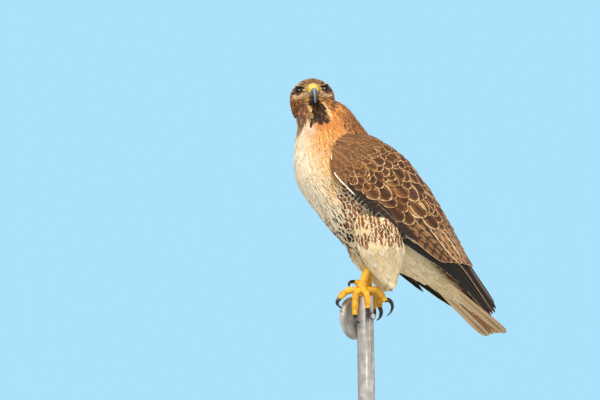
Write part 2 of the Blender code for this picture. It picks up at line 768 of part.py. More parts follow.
CLAWS = {
    "left": {
        1: [(31.5, -5, -8.5, 3.6), (37.5, -5, -8, 3.3), (42.5, -5, -12.5, 2.8), (43.5, -5, -19.5, 2.2),
            (40, -5, -27, 1.5), (34, -5, -32.5, 0.5)],
        2: [(-42, 3, -9.5, 3.1), (-45, 3, -14, 2.7), (-43.5, 2.6, -19.5, 2.0), (-36.5, 2.2, -24, 0.5)],
        3: [(-18.6, -4, -33.5, 3.0), (-18.6, -5.5, -39, 2.6), (-17.5, -8.5, -43.5, 1.8), (-13.5, -11.5, -46, 0.5)],
        4: [(-5, -19.2, -24.5, 2.9), (-4.5, -20.5, -29, 2.4), (-3.5, -20, -34, 1.7), (-1.5, -16.8, -38, 0.5)],
    },
    "right": {
        1: [(31.5, 14, -17, 3.4), (34, 14.3, -24, 3.0), (32, 14.3, -32, 2.2), (25.5, 13.5, -38, 0.5)],
        2: [(-8, 21, 21.5, 2.9), (-14, 21, 20.8, 2.6), (-17.3, 20.6, 16.5, 1.9), (-16, 20, 10.5, 0.5)],
        3: [(5, 35.4, -23.5, 3.0), (5, 37, -29, 2.6), (5.5, 36.6, -35, 1.8), (6, 32.5, -40, 0.5)],
        4: [(29.2, 28.3, -19, 2.8), (30.5, 29.5, -25, 2.3), (30, 29, -31, 1.6), (27.5, 27, -35, 0.5)],
    },
}


def knuckled(rows, count):
    """A toe's points and radii, with the pads swelling between its joints."""
    points, radii = smooth_path(rows, count)
    swollen = [
        radius * (1 + 0.07 * math.cos(math.tau * 3 * i / (count - 1))) for i, radius in enumerate(radii)
    ]
    swollen[-1] *= 0.72
    return points, swollen


thigh_cutters = {}
for side, flip, setback in (("left", None, 0.0), ("right", MIRROR_Y, THIGH_SETBACK)):
    thigh_cutters[side] = add_object("thigh_cutter_" + side, thigh_body(GAP, setback), matrix=flip, helper=True)
for side in ("left", "right"):
    shank_points, shank_radii = smooth_path(SHANKS[side], 10)
    shank = turned_tube("shank_" + side, shank_points, shank_radii, 3, SCALES)
    cut(shank, [thigh_cutters[side], torso_grown])
    round_shading(shank)
    grown = [radius + GAP for radius in shank_radii]
    shank_cutter = turned_tube("shank_cutter", shank_points, grown, 3, helper=True)
    toe_cutters = []
    for number, rows in TOES[side].items():
        points, radii = knuckled(rows, 10)
        toe = turned_tube(f"toe_{side}_{number}", points, radii, 2, SCALES)
        cut(toe, [shank_cutter, *toe_cutters])
        round_shading(toe)
        toe_cutters.append(
            turned_tube("toe_cutter", points, [radius + GAP for radius in radii], 2, helper=True)
        )
        claw_points, claw_radii = smooth_path(CLAWS[side][number], 7)
        claw = turned_tube(f"claw_{side}_{number}", claw_points, claw_radii, 1, CLAW)
        cut(claw, [toe_cutters[-1]])
        round_shading(claw)

# Perch: the cut end of a flagpole with the pulley wheel and the bolt that holds it
AXLE_AIM = Vector((0.409, -0.9125, 0)).normalized()
SLOT_AIM = Vector((-0.19, -0.98, 0)).normalized()


def cylinder(name, diameter, depth, matrix, segments=32, material=None, helper=False, bevel=0.0):
    bm = bmesh.new()
    bmesh.ops.create_cone(
        bm, cap_ends=True, segments=segments, radius1=diameter / 2, radius2=diameter / 2, depth=depth
    )
    if bevel:
        rims = [edge for edge in bm.edges if all(abs(abs(v.co.z) - depth / 2) < 1e-7 for v in edge.verts)]
        bmesh.ops.bevel(bm, geom=rims, offset=bevel, segments=1, affect="EDGES", profile=0.5, material=-1)
    return add_object(name, bm, material, matrix, helper)


def aimed(aim, place):
    return Matrix.Translation(place) @ aim.to_track_quat("Z", "Y").to_matrix().to_4x4()


pole_middle = Matrix.Translation((0, 0, POLE_FOOT + POLE_LENGTH / 2))
pole = cylinder("perch_pole", POLE_DIAMETER, POLE_LENGTH, pole_middle, 24, STEEL, bevel=0.8 * MM)
axle_level = Vector((0, 0, FOOT_LEVEL - SHEAVE_DROP))
sheave_centre = axle_level - AXLE_AIM * SHEAVE_OFFSET
axle_grown = cylinder(
    "axle_grown", AXLE_DIAMETER + 2 * GAP, 90 * MM, aimed(AXLE_AIM, axle_level), 16, helper=True
)
bm = bmesh.new()
bmesh.ops.create_cube(bm, size=1)
bmesh.ops.scale(bm, vec=(SLOT_WIDTH, SLOT_DEPTH * 2, SLOT_LENGTH * 2), verts=bm.verts)
slot_turn = Matrix.Rotation(math.atan2(SLOT_AIM.x, -SLOT_AIM.y), 4, "Z")
slot_place = Vector((0, 0, POLE_TOP)) + SLOT_AIM * POLE_DIAMETER / 2
slot = add_object("slot", bm, matrix=Matrix.Translation(slot_place) @ slot_turn, helper=True)
cut(pole, [axle_grown, slot])
round_shading(pole)

# The wheel is a turned profile: hub, web, two flanges and the rope groove between them
WHEEL_PROFILE = [
    (3.3, -4.6), (8, -4.6), (9, -3), (25, -3), (27, -4.6), (33, -4.6),
    (28, 0), (33, 4.6), (27, 4.6), (25, 3), (9, 3), (8, 4.6), (3.3, 4.6),
]
bm = bmesh.new()
turned = [bm.verts.new((radius * MM, 0, height * MM)) for radius, height in WHEEL_PROFILE]
rim = [bm.edges.new((a, b)) for a, b in zip(turned, turned[1:] + turned[:1])]
bmesh.ops.spin(
    bm, geom=turned + rim, cent=(0, 0, 0), axis=(0, 0, 1), angle=math.tau, steps=24, use_merge=True
)
sheave = add_object("perch_pulley", bm, STEEL, aimed(AXLE_AIM, sheave_centre))
round_shading(sheave)

bolt = cylinder(
    "perch_bolt", AXLE_DIAMETER, 44 * MM, aimed(AXLE_AIM, axle_level - AXLE_AIM * 6 * MM), 16, STEEL
)
heads = [
    cylinder("bolt_head", AXLE_HEAD, 4 * MM, aimed(AXLE_AIM, axle_level + AXLE_AIM * out * MM), 6, helper=True)
    for out in (POLE_DIAMETER / 2 / MM + 2.3, -SHEAVE_OFFSET / MM - 7.3)
]
fuse(bolt, heads)

# Stand: a short rod and a flat round base
rod_length = POLE_FOOT - BASE_THICKNESS - 2 * GAP
rod_middle = Matrix.Translation((0, 0, BASE_THICKNESS + GAP + rod_length / 2))
cylinder("stand_rod", ROD_DIAMETER, rod_length, rod_middle, 24, PAINT)
base_middle = Matrix.Translation((0, 0, BASE_THICKNESS / 2))
base = cylinder("stand_base", BASE_DIAMETER, BASE_THICKNESS, base_middle, 40, PAINT, bevel=BASE_EDGE)
round_shading(base)

# The helpers have done their work
for helper in list(TOOLS.objects):
    bpy.data.objects.remove(helper)
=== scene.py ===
"""The looks of a red-tailed hawk on the cut end of a flagpole, on a plain display stand.

Lengths are in millimetres from the middle of the base's underside, +Z up, unless a line says otherwise.
The hawk faces -X with its head turned to its left, towards -Y.
"""

import math

import bmesh
import bpy
import numpy as np
from mathutils import Matrix, Vector, noise
from mathutils.bvhtree import BVHTree
from mathutils.kdtree import KDTree


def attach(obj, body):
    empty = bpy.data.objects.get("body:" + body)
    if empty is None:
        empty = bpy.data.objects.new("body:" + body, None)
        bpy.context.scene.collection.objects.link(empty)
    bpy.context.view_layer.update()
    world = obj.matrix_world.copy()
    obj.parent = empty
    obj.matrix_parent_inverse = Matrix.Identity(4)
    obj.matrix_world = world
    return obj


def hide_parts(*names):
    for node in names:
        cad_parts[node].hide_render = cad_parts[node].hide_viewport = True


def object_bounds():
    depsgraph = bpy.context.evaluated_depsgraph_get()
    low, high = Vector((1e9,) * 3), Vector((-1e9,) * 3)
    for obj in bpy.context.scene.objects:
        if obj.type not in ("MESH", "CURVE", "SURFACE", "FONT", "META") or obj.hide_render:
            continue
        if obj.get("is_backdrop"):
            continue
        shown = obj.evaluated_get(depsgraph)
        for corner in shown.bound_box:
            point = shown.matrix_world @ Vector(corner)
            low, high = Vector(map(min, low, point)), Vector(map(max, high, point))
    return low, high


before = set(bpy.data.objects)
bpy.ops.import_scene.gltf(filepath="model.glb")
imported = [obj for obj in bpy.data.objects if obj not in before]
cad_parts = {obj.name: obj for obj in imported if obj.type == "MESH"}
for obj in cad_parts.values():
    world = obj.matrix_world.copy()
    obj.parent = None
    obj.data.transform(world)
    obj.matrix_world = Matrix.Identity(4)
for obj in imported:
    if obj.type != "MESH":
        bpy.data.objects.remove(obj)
cad_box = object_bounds()

# The stand: a turned wooden disc with a short steel rod set into its middle, both sprayed in one
# dark grey. It only holds the pole up, and isn't in the photograph.
BASE_DIAMETER = 240
BASE_THICKNESS = 22
BASE_EDGE = 3
ROD_DIAMETER = 16
POLE_FOOT = 76
GAP = 0.3
TO_METRES = Matrix.Scale(0.001, 4)


def linear(code):
    """A hex colour as the linear values that a shader takes."""
    parts = [int(code[i : i + 2], 16) / 255 for i in (0, 2, 4)]
    return [p / 12.92 if p <= 0.04045 else ((p + 0.055) / 1.055) ** 2.4 for p in parts] + [1.0]


def feed(node, inputs):
    """Sets a node's inputs, by name or in order. Each is a value, or a node or socket to link from."""
    named = inputs if isinstance(inputs, dict) else dict(enumerate(inputs))
    for name, value in named.items():
        if isinstance(value, bpy.types.Node):
            value = value.outputs[0]
        if isinstance(value, bpy.types.NodeSocket):
            node.id_data.links.new(value, node.inputs[name])
        else:
            node.inputs[name].default_value = value


def add(tree, kind, inputs=(), stops=(), **settings):
    """A shader node with its settings, its inputs and its ramp's stops."""
    made = tree.nodes.new("ShaderNode" + kind)
    for name, setting in settings.items():
        setattr(made, name, setting)
    feed(made, inputs)
    for i, (place, code) in enumerate(stops):
        ramp = made.color_ramp.elements
        stop = ramp[i] if i < 2 else ramp.new(place)
        stop.position, stop.color = place, linear(code)
    return made


def finish_of(name, roughness, metallic=0.0, **sockets):
    """A material with one shader, and its tree and shader."""
    material = bpy.data.materials.new(name)
    material.use_nodes = True
    shader = material.node_tree.nodes["Principled BSDF"]
    feed(shader, {"Roughness": roughness, "Metallic": metallic})
    feed(shader, {socket.replace("_", " "): value for socket, value in sockets.items()})
    return material, material.node_tree, shader


def add_piece(name, bm, material, node_names=(), smooth=35):
    """A bmesh in millimetres as a piece of the hawk, which stands for some CAD nodes."""
    bmesh.ops.remove_doubles(bm, verts=bm.verts, dist=0.001)
    bmesh.ops.recalc_face_normals(bm, faces=bm.faces)
    bmesh.ops.transform(bm, matrix=TO_METRES, verts=bm.verts)
    mesh = bpy.data.meshes.new(name)
    bm.to_mesh(mesh)
    bm.free()
    made = bpy.data.objects.new(name, mesh)
    bpy.context.scene.collection.objects.link(made)
    mesh.shade_smooth()
    mesh.set_sharp_from_angle(angle=math.radians(smooth))
    mesh.materials.append(material)
    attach(made, "root")
    if node_names:
        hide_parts(*node_names)
    return made


def disc(diameter, low, high, edge=0.0, segments=96):
    """An upright cylinder with softened rims."""
    bm = bmesh.new()
    bmesh.ops.create_cone(
        bm, cap_ends=True, segments=segments, radius1=diameter / 2, radius2=diameter / 2, depth=high - low
    )
    if edge:
        rims = [e for e in bm.edges if abs(e.verts[0].co.z - e.verts[1].co.z) < 1e-6]
        bmesh.ops.bevel(bm, geom=rims, offset=edge, segments=4, affect="EDGES", profile=0.5, material=-1)
    bmesh.ops.translate(bm, vec=(0, 0, (low + high) / 2), verts=bm.verts)
    return bm


# Sprayed paint: an even dark grey with a fine orange-peel skin, about 1 mm from hill to hill
STAND_PAINT, tree, shader = finish_of("sprayed_dark_grey_paint", 0.42)
place = add(tree, "TexCoord").outputs["Object"]
peel = add(tree, "TexNoise", {"Vector": place, "Scale": 900.0, "Detail": 2.0})
bump = add(tree, "Bump", {"Height": peel, "Strength": 0.12, "Distance": 0.0004})
feed(shader, {"Base Color": linear("3A3A3C"), "Normal": bump})
base = add_piece("base", disc(BASE_DIAMETER, 0, BASE_THICKNESS, BASE_EDGE), STAND_PAINT, ["stand_base"])
rod = add_piece("rod", disc(ROD_DIAMETER, BASE_THICKNESS + GAP, POLE_FOOT - GAP), STAND_PAINT, ["stand_rod"])

# The perch: the cut end of a galvanised tube, slotted at the front of its rim, with a pulley
# wheel behind it. One bolt goes through tube and wheel, with a hexagon at each end.
FOOT_LEVEL = 250
POLE_DIAMETER = 25.4
POLE_TOP = FOOT_LEVEL - 4
SLOT = (6, 16, 90)
SLOT_AIM = Vector((-0.19, -0.98, 0)).normalized()
AXLE_AIM = Vector((0.409, -0.9125, 0)).normalized()
AXLE_DROP = 35
AXLE_DIAMETER = 6
BOLT_HOLE = (-45, 45)
BOLT_SPAN = (-28, 16)
HEXAGON_WIDTH = 9
HEXAGON_SPANS = ((13, 17), (-27.8, -23.8))
WHEEL_SETBACK = 18.5
WHEEL_PROFILE = [
    (3.3, -4.6), (8, -4.6), (9, -3), (25, -3), (27, -4.6), (33, -4.6), (30.5, -2.2),
    (28, 0), (30.5, 2.2), (33, 4.6), (27, 4.6), (25, 3), (9, 3), (8, 4.6), (3.3, 4.6),
]


def aimed(aim, place):
    return Matrix.Translation(place) @ Vector(aim).to_track_quat("Z", "Y").to_matrix().to_4x4()


def cut_away(made, tools):
    """Takes closed bmeshes in millimetres away from a piece."""
    for tool in tools:
        mesh = bpy.data.meshes.new("tool")
        bmesh.ops.recalc_face_normals(tool, faces=tool.faces)
        bmesh.ops.transform(tool, matrix=TO_METRES, verts=tool.verts)
        tool.to_mesh(mesh)
        cutter = bpy.data.objects.new("tool", mesh)
        bpy.context.scene.collection.objects.link(cutter)
        difference = made.modifiers.new("cut", "BOOLEAN")
        difference.operation, difference.object, difference.solver = "DIFFERENCE", cutter, "EXACT"
        graph = bpy.context.evaluated_depsgraph_get()
        done = bpy.data.meshes.new_from_object(made.evaluated_get(graph))
        made.modifiers.clear()
        made.data = done
        bpy.data.objects.remove(cutter)


def turned(rows, steps):
    """A ring with a closed section, given as rows of radius and height."""
    bm = bmesh.new()
    section = [bm.verts.new((radius, 0, height)) for radius, height in rows]
    rim = [bm.edges.new(pair) for pair in zip(section, section[1:] + section[:1])]
    bmesh.ops.spin(bm, geom=section + rim, axis=(0, 0, 1), angle=math.tau, steps=steps, use_merge=True)
    return bm


# Hot-dip galvanised steel tube: dull silver grey, with zinc flowers about 8 mm across
GALVANISED, tree, shader = finish_of("hot_dip_galvanised_steel", 0.42, 0.55)
place = add(tree, "TexCoord").outputs["Object"]
flower = add(tree, "TexVoronoi", {"Vector": place, "Scale": 130.0})
grime = add(tree, "TexNoise", {"Vector": place, "Scale": 60.0, "Detail": 6.0})
zinc = add(tree, "ValToRGB", [flower.outputs["Color"]], [(0.0, "B9BABA"), (1.0, "DCDCDA")])
dirt = add(tree, "ValToRGB", [grime], [(0.35, "9C968C"), (0.62, "FFFFFF")])
colour = add(tree, "MixRGB", [0.45, zinc, dirt], blend_type="MULTIPLY")
bump = add(tree, "Bump", {"Height": grime, "Strength": 0.15, "Distance": 0.0004})
feed(shader, {"Base Color": colour, "Normal": bump})

axle_level = Vector((0, 0, FOOT_LEVEL - AXLE_DROP))
pole = add_piece("pole", disc(POLE_DIAMETER, POLE_FOOT, POLE_TOP, 0.8), GALVANISED, ["perch_pole"])
slot = bmesh.new()
bmesh.ops.create_cube(slot, size=1)
bmesh.ops.scale(slot, vec=SLOT, verts=slot.verts)
slot_turn = Matrix.Rotation(math.atan2(SLOT_AIM.x, -SLOT_AIM.y), 4, "Z")
slot_place = Matrix.Translation(Vector((0, 0, POLE_TOP)) + SLOT_AIM * POLE_DIAMETER / 2)
bmesh.ops.transform(slot, matrix=slot_place @ slot_turn, verts=slot.verts)
bolt_hole = disc(AXLE_DIAMETER + 2 * GAP, *BOLT_HOLE, segments=32)
bmesh.ops.transform(bolt_hole, matrix=aimed(AXLE_AIM, axle_level), verts=bolt_hole.verts)
cut_away(pole, [slot, bolt_hole])

wheel = turned(WHEEL_PROFILE, 72)
bmesh.ops.transform(wheel, matrix=aimed(AXLE_AIM, axle_level - AXLE_AIM * WHEEL_SETBACK), verts=wheel.verts)
pulley = add_piece("pulley_wheel", wheel, GALVANISED, ["perch_pulley"])

bolt = disc(AXLE_DIAMETER, *BOLT_SPAN, segments=32)
for low, high in HEXAGON_SPANS:
    hexagon = disc(HEXAGON_WIDTH, low, high, 0.4, 6)
    done = bpy.data.meshes.new("hexagon")
    hexagon.to_mesh(done)
    bolt.from_mesh(done)
bmesh.ops.transform(bolt, matrix=aimed(AXLE_AIM, axle_level), verts=bolt.verts)
bolt = add_piece("pulley_bolt", bolt, GALVANISED, ["perch_bolt"])

# The skin: one closed hide over neck, trunk, head, thighs, tail root and the arms of the wings.
# It lies under the feathers by their depth, and takes its tints from the feathers that grow on it.
BODY_PITCH = math.radians(46)
BODY_ORIGIN = (-45, 206)
COAT_DEPTH = 3.0
HEAD_COAT = 2.0
VOXEL = 0.0023
# Each section of neck and trunk has its front's x and z, its back's x and z, half width, widest place
TRUNK = [
    (-99, 303, -74, 312, 9, 0.50),
    (-108.5, 291, -59.5, 306, 20, 0.52),
    (-112, 273, -41, 296, 33, 0.50),
    (-108.5, 253, -25, 284, 43, 0.48),
    (-113, 218, -7, 261, 52, 0.51),
    (-107, 165, 11, 240, 60, 0.55),
    (-68, 114, 38, 214, 64, 0.55),
    (-33, 78, 69, 177, 61, 0.56),
    (-4, 58, 87, 146, 54, 0.58),
    (33, 45.5, 102, 111.5, 42, 0.58),
    (71.5, 33.5, 116, 77, 32, 0.58),
    (107, 19.5, 132, 43, 26, 0.58),
]
# Each section of the head has its place forward of the centre, half width, height above and below
HEAD = [
    (-41, 7, 7, 9),
    (-37, 18, 16, 20),
    (-26, 29, 24, 33),
    (-9, 35, 27, 41),
    (4, 33.5, 26.5, 41),
    (12, 28.5, 24.5, 38),
    (18, 20.5, 21.5, 32),
    (24, 13.5, 17.5, 25),
    (30, 10.5, 13.5, 17.5),
    (36, 8, 10, 12),
]
CHEEK = 0.16
BROW = (16.0, 18.2, 11.8)
BROW_SIZE = (10, 3.4, 1.8)
BROW_TURN = math.radians(44)
BROW_DIP = math.radians(12)
HEAD_FRAME = (
    Matrix.Translation((-86.5, -0.4, 306 + FOOT_LEVEL))
    @ Matrix.Rotation(math.pi + math.radians(70.5), 4, "Z")
    @ Matrix.Rotation(math.radians(8), 4, "Y")
    @ Matrix.Rotation(math.radians(4.5), 4, "X")
)
# Each section of a thigh has its height, the centre's x and y, and the half sizes along x and y
THIGH = [
    (118, 2, -30, 40, 34),
    (100, 5, -35, 43, 33),
    (80, 8, -37, 42, 30),
    (60, 12, -36, 39, 26),
    (44, 17, -32, 32, 20),
    (30, 21, -29, 23, 14),
    (17, 27, -28, 14, 8),
    (7, 32, -28, 5, 3.5),
]
THIGH_SETBACK = 22
# The wing's rails from wrist to tip: along the body's axis, above it and sideways
RAILS = [
    [(-14, -34, -56), (10, -50, -59), (45, -51, -62), (90, -44, -63),
     (146, -31, -60), (200, -12, -56), (254, 6, -50), (344, 23, -31)],
    [(-26, -16, -58), (0, -10, -72), (45, 5, -79), (95, 14, -77),
     (150, 20, -69), (205, 25, -60), (258, 29, -48), (344, 30, -27)],
    [(-26, 10, -54), (8, 36, -63), (55, 57, -61), (108, 62, -54),
     (165, 59, -45), (215, 52, -37), (260, 46, -31), (344, 39, -23)],
    [(-16, 32, -46), (12, 62, -26), (60, 74, -7), (111, 75, -2.5),
     (172, 67.5, -2.5), (222, 61, -4), (262, 54, -12), (344, 41, -20)],
]
TAIL_SWING = math.radians(10)
TAIL_TIP = (382, 28)
TAIL_LENGTH = 132
# Each section of the tail's fleshy root has its half width and half height
TAIL_COVERTS = [(26, 17), (28, 12.5), (24, 7.5), (12, 2.5)]
TAIL_COVERT_STEP = 27.3
TAIL_COVERT_START = -18
WING_MIDDLE = np.array((40, 0, 120 + FOOT_LEVEL))


def curve(a, b, c, d, u):
    """A place from b, at u = 0, to c, at u = 1, on a smooth curve with a before them and d after."""
    return b + 0.5 * u * (c - a + u * (2 * a - 5 * b + 4 * c - d + u * (3 * (b - c) + d - a)))


def row_at(rows, k):
    """Rows of numbers read at fractional places k, along a smooth curve through them."""
    rows, k = np.asarray(rows, float), np.asarray(k, float)
    i = np.clip(np.floor(k).astype(int), 0, len(rows) - 2)
    u = (k - i)[..., None]
    return curve(rows[np.maximum(i - 1, 0)], rows[i], rows[i + 1], rows[np.minimum(i + 2, len(rows) - 1)], u)


def oval(angle, half_width, up, down, roundness):
    c, s = np.cos(angle), np.sin(angle)
    power = 2 / roundness
    across = half_width * np.sign(c) * np.abs(c) ** power
    return across, np.where(s > 0, up, down) * np.sign(s) * np.abs(s) ** power


def body_point(along, above, side):
    c, s = math.cos(BODY_PITCH), math.sin(BODY_PITCH)
    x = BODY_ORIGIN[0] + along * c + above * s
    z = BODY_ORIGIN[1] + FOOT_LEVEL - along * s + above * c
    return np.stack([x, side + 0 * x, z], -1)


def trunk(k, angle):
    """The skin of neck and trunk. The angle is 0 at its right, a quarter turn on at its back."""
    k, angle = np.broadcast_arrays(np.asarray(k, float), angle)
    front_x, front_z, back_x, back_z, side, widest = np.moveaxis(row_at(TRUNK, k), -1, 0)
    dx, dz = back_x - front_x, back_z - front_z
    depth = np.hypot(dx, dz)
    back, front = depth * (1 - widest) - COAT_DEPTH, depth * widest - COAT_DEPTH
    y, up = oval(angle, side - COAT_DEPTH, back, front, 2.2)
    reach = widest + up / depth
    return np.stack([front_x + dx * reach, y, front_z + dz * reach + FOOT_LEVEL], -1)


def head_local(a, angle):
    """The skin of the head in its own frame. a runs from 0 at the bill to 9 at the nape."""
    a, angle = np.broadcast_arrays(np.asarray(a, float), angle)
    forward, half_width, up, down = np.moveaxis(row_at(HEAD, 9 - a), -1, 0)
    wide = half_width * (1 - CHEEK * np.sin(angle)) - HEAD_COAT
    y, z = oval(angle, wide, up - HEAD_COAT, down - HEAD_COAT, 2.15)
    return np.stack([forward, y, z], -1)


def in_head(points):
    turn = np.array(HEAD_FRAME)
    return points @ turn[:3, :3].T + turn[:3, 3]


def head(a, angle):
    return in_head(head_local(a, angle))


def thigh(k, angle, setback=0.0):
    k, angle = np.broadcast_arrays(np.asarray(k, float), angle)
    z, x, y, half_length, half_width = np.moveaxis(row_at(THIGH, k), -1, 0)
    x = x + setback * np.minimum(1.0, (THIGH[0][0] - z) / 40)
    inset = np.minimum(COAT_DEPTH, half_width * 0.35)
    x, y = x + (half_length - inset) * np.cos(angle), y + (half_width - inset) * np.sin(angle)
    return np.stack([x, y, z + FOOT_LEVEL], -1)


def thigh_back(k, angle):
    return thigh(k, angle, THIGH_SETBACK)


def wing(s, t):
    """The outer face of the left wing, at s from wrist to tip and t from its low edge to its back edge."""
    s, t = np.broadcast_arrays(np.asarray(s, float), t)
    across = np.stack([row_at(rail, s) for rail in RAILS], 0)
    i = np.clip(np.floor(t).astype(int), 0, 2)
    u = (t - i)[..., None]
    nearby = (np.clip(i + j, 0, 3)[None, ..., None] for j in (-1, 0, 1, 2))
    found = curve(*(np.take_along_axis(across, rail, 0)[0] for rail in nearby), u)
    return body_point(found[..., 0], found[..., 1], found[..., 2])


def tail_plane(a, side, up=0.0):
    """The tail's middle plane, a millimetres from its root."""
    back = TAIL_LENGTH - np.asarray(a, float)
    along = TAIL_TIP[0] - back * math.cos(TAIL_SWING) - up * math.sin(TAIL_SWING)
    above = TAIL_TIP[1] - back * math.sin(TAIL_SWING) + up * math.cos(TAIL_SWING)
    return body_point(along, above, side)


def tail_root(k, angle):
    """The fleshy root of the tail and the taper of its coverts. k runs from 0 to 3."""
    k, angle = np.broadcast_arrays(np.asarray(k, float), angle)
    half_width, half_height = np.moveaxis(row_at(TAIL_COVERTS, k), -1, 0)
    inset = np.minimum(COAT_DEPTH, half_height * 0.4)
    y, up = oval(angle, half_width - inset, half_height - inset, half_height - inset, 2.4)
    return tail_plane(TAIL_COVERT_STEP * k + TAIL_COVERT_START, y, up - 2)


def mirrored(surface):
    """The same surface on the hawk's right side."""

    def other_side(a, b):
        return surface(a, b) * (1, -1, 1)

    return other_side


def sleeve(surface, first, last, rings, sides=48):
    """A closed tube over a surface, whose second number is an angle."""
    bm = bmesh.new()
    bmesh.ops.create_cone(bm, cap_ends=True, segments=sides, radius1=1, radius2=1, depth=2)
    ribs = [e for e in bm.edges if abs(e.verts[0].co.z - e.verts[1].co.z) > 1]
    bmesh.ops.subdivide_edges(bm, edges=ribs, cuts=rings - 2, use_grid_fill=True)
    co = np.array([v.co for v in bm.verts])
    shaped = surface(first + (last - first) * (co[:, 2] + 1) / 2, np.arctan2(co[:, 1], co[:, 0]))
    for vert, point in zip(bm.verts, shaped):
        vert.co = point
    return bm


def unit(vectors):
    return vectors / np.maximum(np.linalg.norm(vectors, axis=-1, keepdims=True), 1e-9)


def outward(surface, a, b, away_from):
    """The unit normals of a surface, pointing away from a point."""
    step = 0.02
    slope_a = surface(a + step, b) - surface(a - step, b)
    slope_b = surface(a, b + step) - surface(a, b - step)
    normal = unit(np.cross(slope_a, slope_b))
    middle = surface(a, b)
    flat = (normal * (middle - np.asarray(away_from))).reshape(-1, 3).sum(1)
    return normal * (1 if np.median(flat) > 0 else -1)


def arm(flip):
    """The muscled arm of a wing, under the coverts: the wing's outer face with a depth behind it."""

    def section(s, angle):
        s, angle = np.broadcast_arrays(np.asarray(s, float), angle)
        t = 0.12 + 2.76 * (0.5 + 0.5 * np.cos(angle))
        normal = outward(wing, s, t, WING_MIDDLE)
        muscle = 15 * np.minimum(1, 0.5 + s) * np.clip((5.4 - s) / 2.2, 0.12, 1)
        depth = np.where(np.sin(angle) > 0, 1.2, muscle)
        return (wing(s, t) - normal * (1.2 + depth * (np.sin(angle) ** 2) ** 0.25)[..., None]) * (1, flip, 1)

    return section


hide = bmesh.new()
shapes = [
    sleeve(trunk, 0, 11, 60),
    sleeve(head, 0, 9, 44),
    sleeve(thigh, 0, 6.3, 30),
    sleeve(mirrored(thigh_back), 0, 6, 30),
    sleeve(tail_root, 0, 2.6, 20),
    sleeve(arm(1), 0.05, 4.9, 40),
    sleeve(arm(-1), 0.05, 4.9, 40),
]
for side in (1, -1):
    brow = bmesh.new()
    bmesh.ops.create_uvsphere(brow, u_segments=20, v_segments=12, radius=1)
    ridge = (
        Matrix.Translation((BROW[0], side * BROW[1], BROW[2]))
        @ Matrix.Rotation(-side * BROW_TURN, 4, "Z")
        @ Matrix.Rotation(BROW_DIP, 4, "Y")
        @ Matrix.Diagonal((*BROW_SIZE, 1))
    )
    bmesh.ops.transform(brow, matrix=HEAD_FRAME @ ridge, verts=brow.verts)
    shapes.append(brow)
for shape in shapes:
    bmesh.ops.recalc_face_normals(shape, faces=shape.faces)
    done = bpy.data.meshes.new("shape")
    shape.to_mesh(done)
    hide.from_mesh(done)
    shape.free()

# Bird skin: thin and matt. Down and feather roots tint it, a little darker than the feathers as painted
# shade, so it shows only as shade between feathers
SKIN, tree, shader = finish_of("downy_bird_skin", 0.9)
tint = add(tree, "Attribute", attribute_name="ground")
place = add(tree, "TexCoord").outputs["Object"]
down = add(tree, "TexNoise", {"Vector": place, "Scale": 700.0, "Detail": 4.0})
shade = add(tree, "ValToRGB", [down], [(0.3, "8A8A8A"), (0.7, "FFFFFF")])
colour = add(tree, "MixRGB", [1.0, tint, shade], blend_type="MULTIPLY")
bump = add(tree, "Bump", {"Height": down, "Strength": 0.6, "Distance": 0.0008})
feed(shader, {"Base Color": colour, "Normal": bump})

FLESH = ["torso", "neck", "head", "thigh_left", "thigh_right", "wing_left", "wing_right", "tail"]
skin = add_piece("skin", hide, SKIN, FLESH)
fused = skin.modifiers.new("fuse", "REMESH")
fused.mode, fused.voxel_size = "VOXEL", VOXEL
softened = skin.modifiers.new("soften", "SMOOTH")
softened.factor, softened.iterations = 0.5, 3
graph = bpy.context.evaluated_depsgraph_get()
hide = bpy.data.meshes.new_from_object(skin.evaluated_get(graph))
skin.modifiers.clear()
skin.data = hide
hide.shade_smooth()
skin_tree = BVHTree.FromObject(skin, bpy.context.evaluated_depsgraph_get())

# The eyes: dark globes under a clear front, each in a ring of bare lid below the brow's ridge.
# The iris is red-brown, as in a bird past its second year.
EYE_RADIUS = 7.2
EYES = [Vector((14.2, side * 19.6, 4.2)) for side in (1, -1)]
EYE_AIM = Vector((0.76, 0.65, 0.02)).normalized()
# The pupil is aimed high, so its black covers the eye's top as painted shade under the brow
PUPIL_AIM = Vector((0.86, 0.42, 0.36)).normalized()
# The lid's section: its distance from the eye's axis, and its height along that axis
LID_PROFILE = [
    (6.3, 3.3), (6.9, 3.7), (7.9, 3.1), (8.9, 1.4), (10.0, -1.6), (9.2, -3.0), (7.6, -1.0), (6.9, 1.6),
]
LID_SAG = 0.0022
# How far the iris's ramp of tints reaches from the pupil's middle, in metres
IRIS_REACH = 0.0086


def along_head(tree, axis, start):
    """How far a point lies along one of the head's own axes past a start, in metres."""
    aim = Vector(HEAD_FRAME.col[axis][:3])
    place = add(tree, "TexCoord").outputs["Object"]
    reach = add(tree, "VectorMath", [place, aim], operation="DOT_PRODUCT").outputs["Value"]
    offset = aim.dot(HEAD_FRAME.translation + aim * start) * 0.001
    return add(tree, "Math", [reach, offset], operation="SUBTRACT")
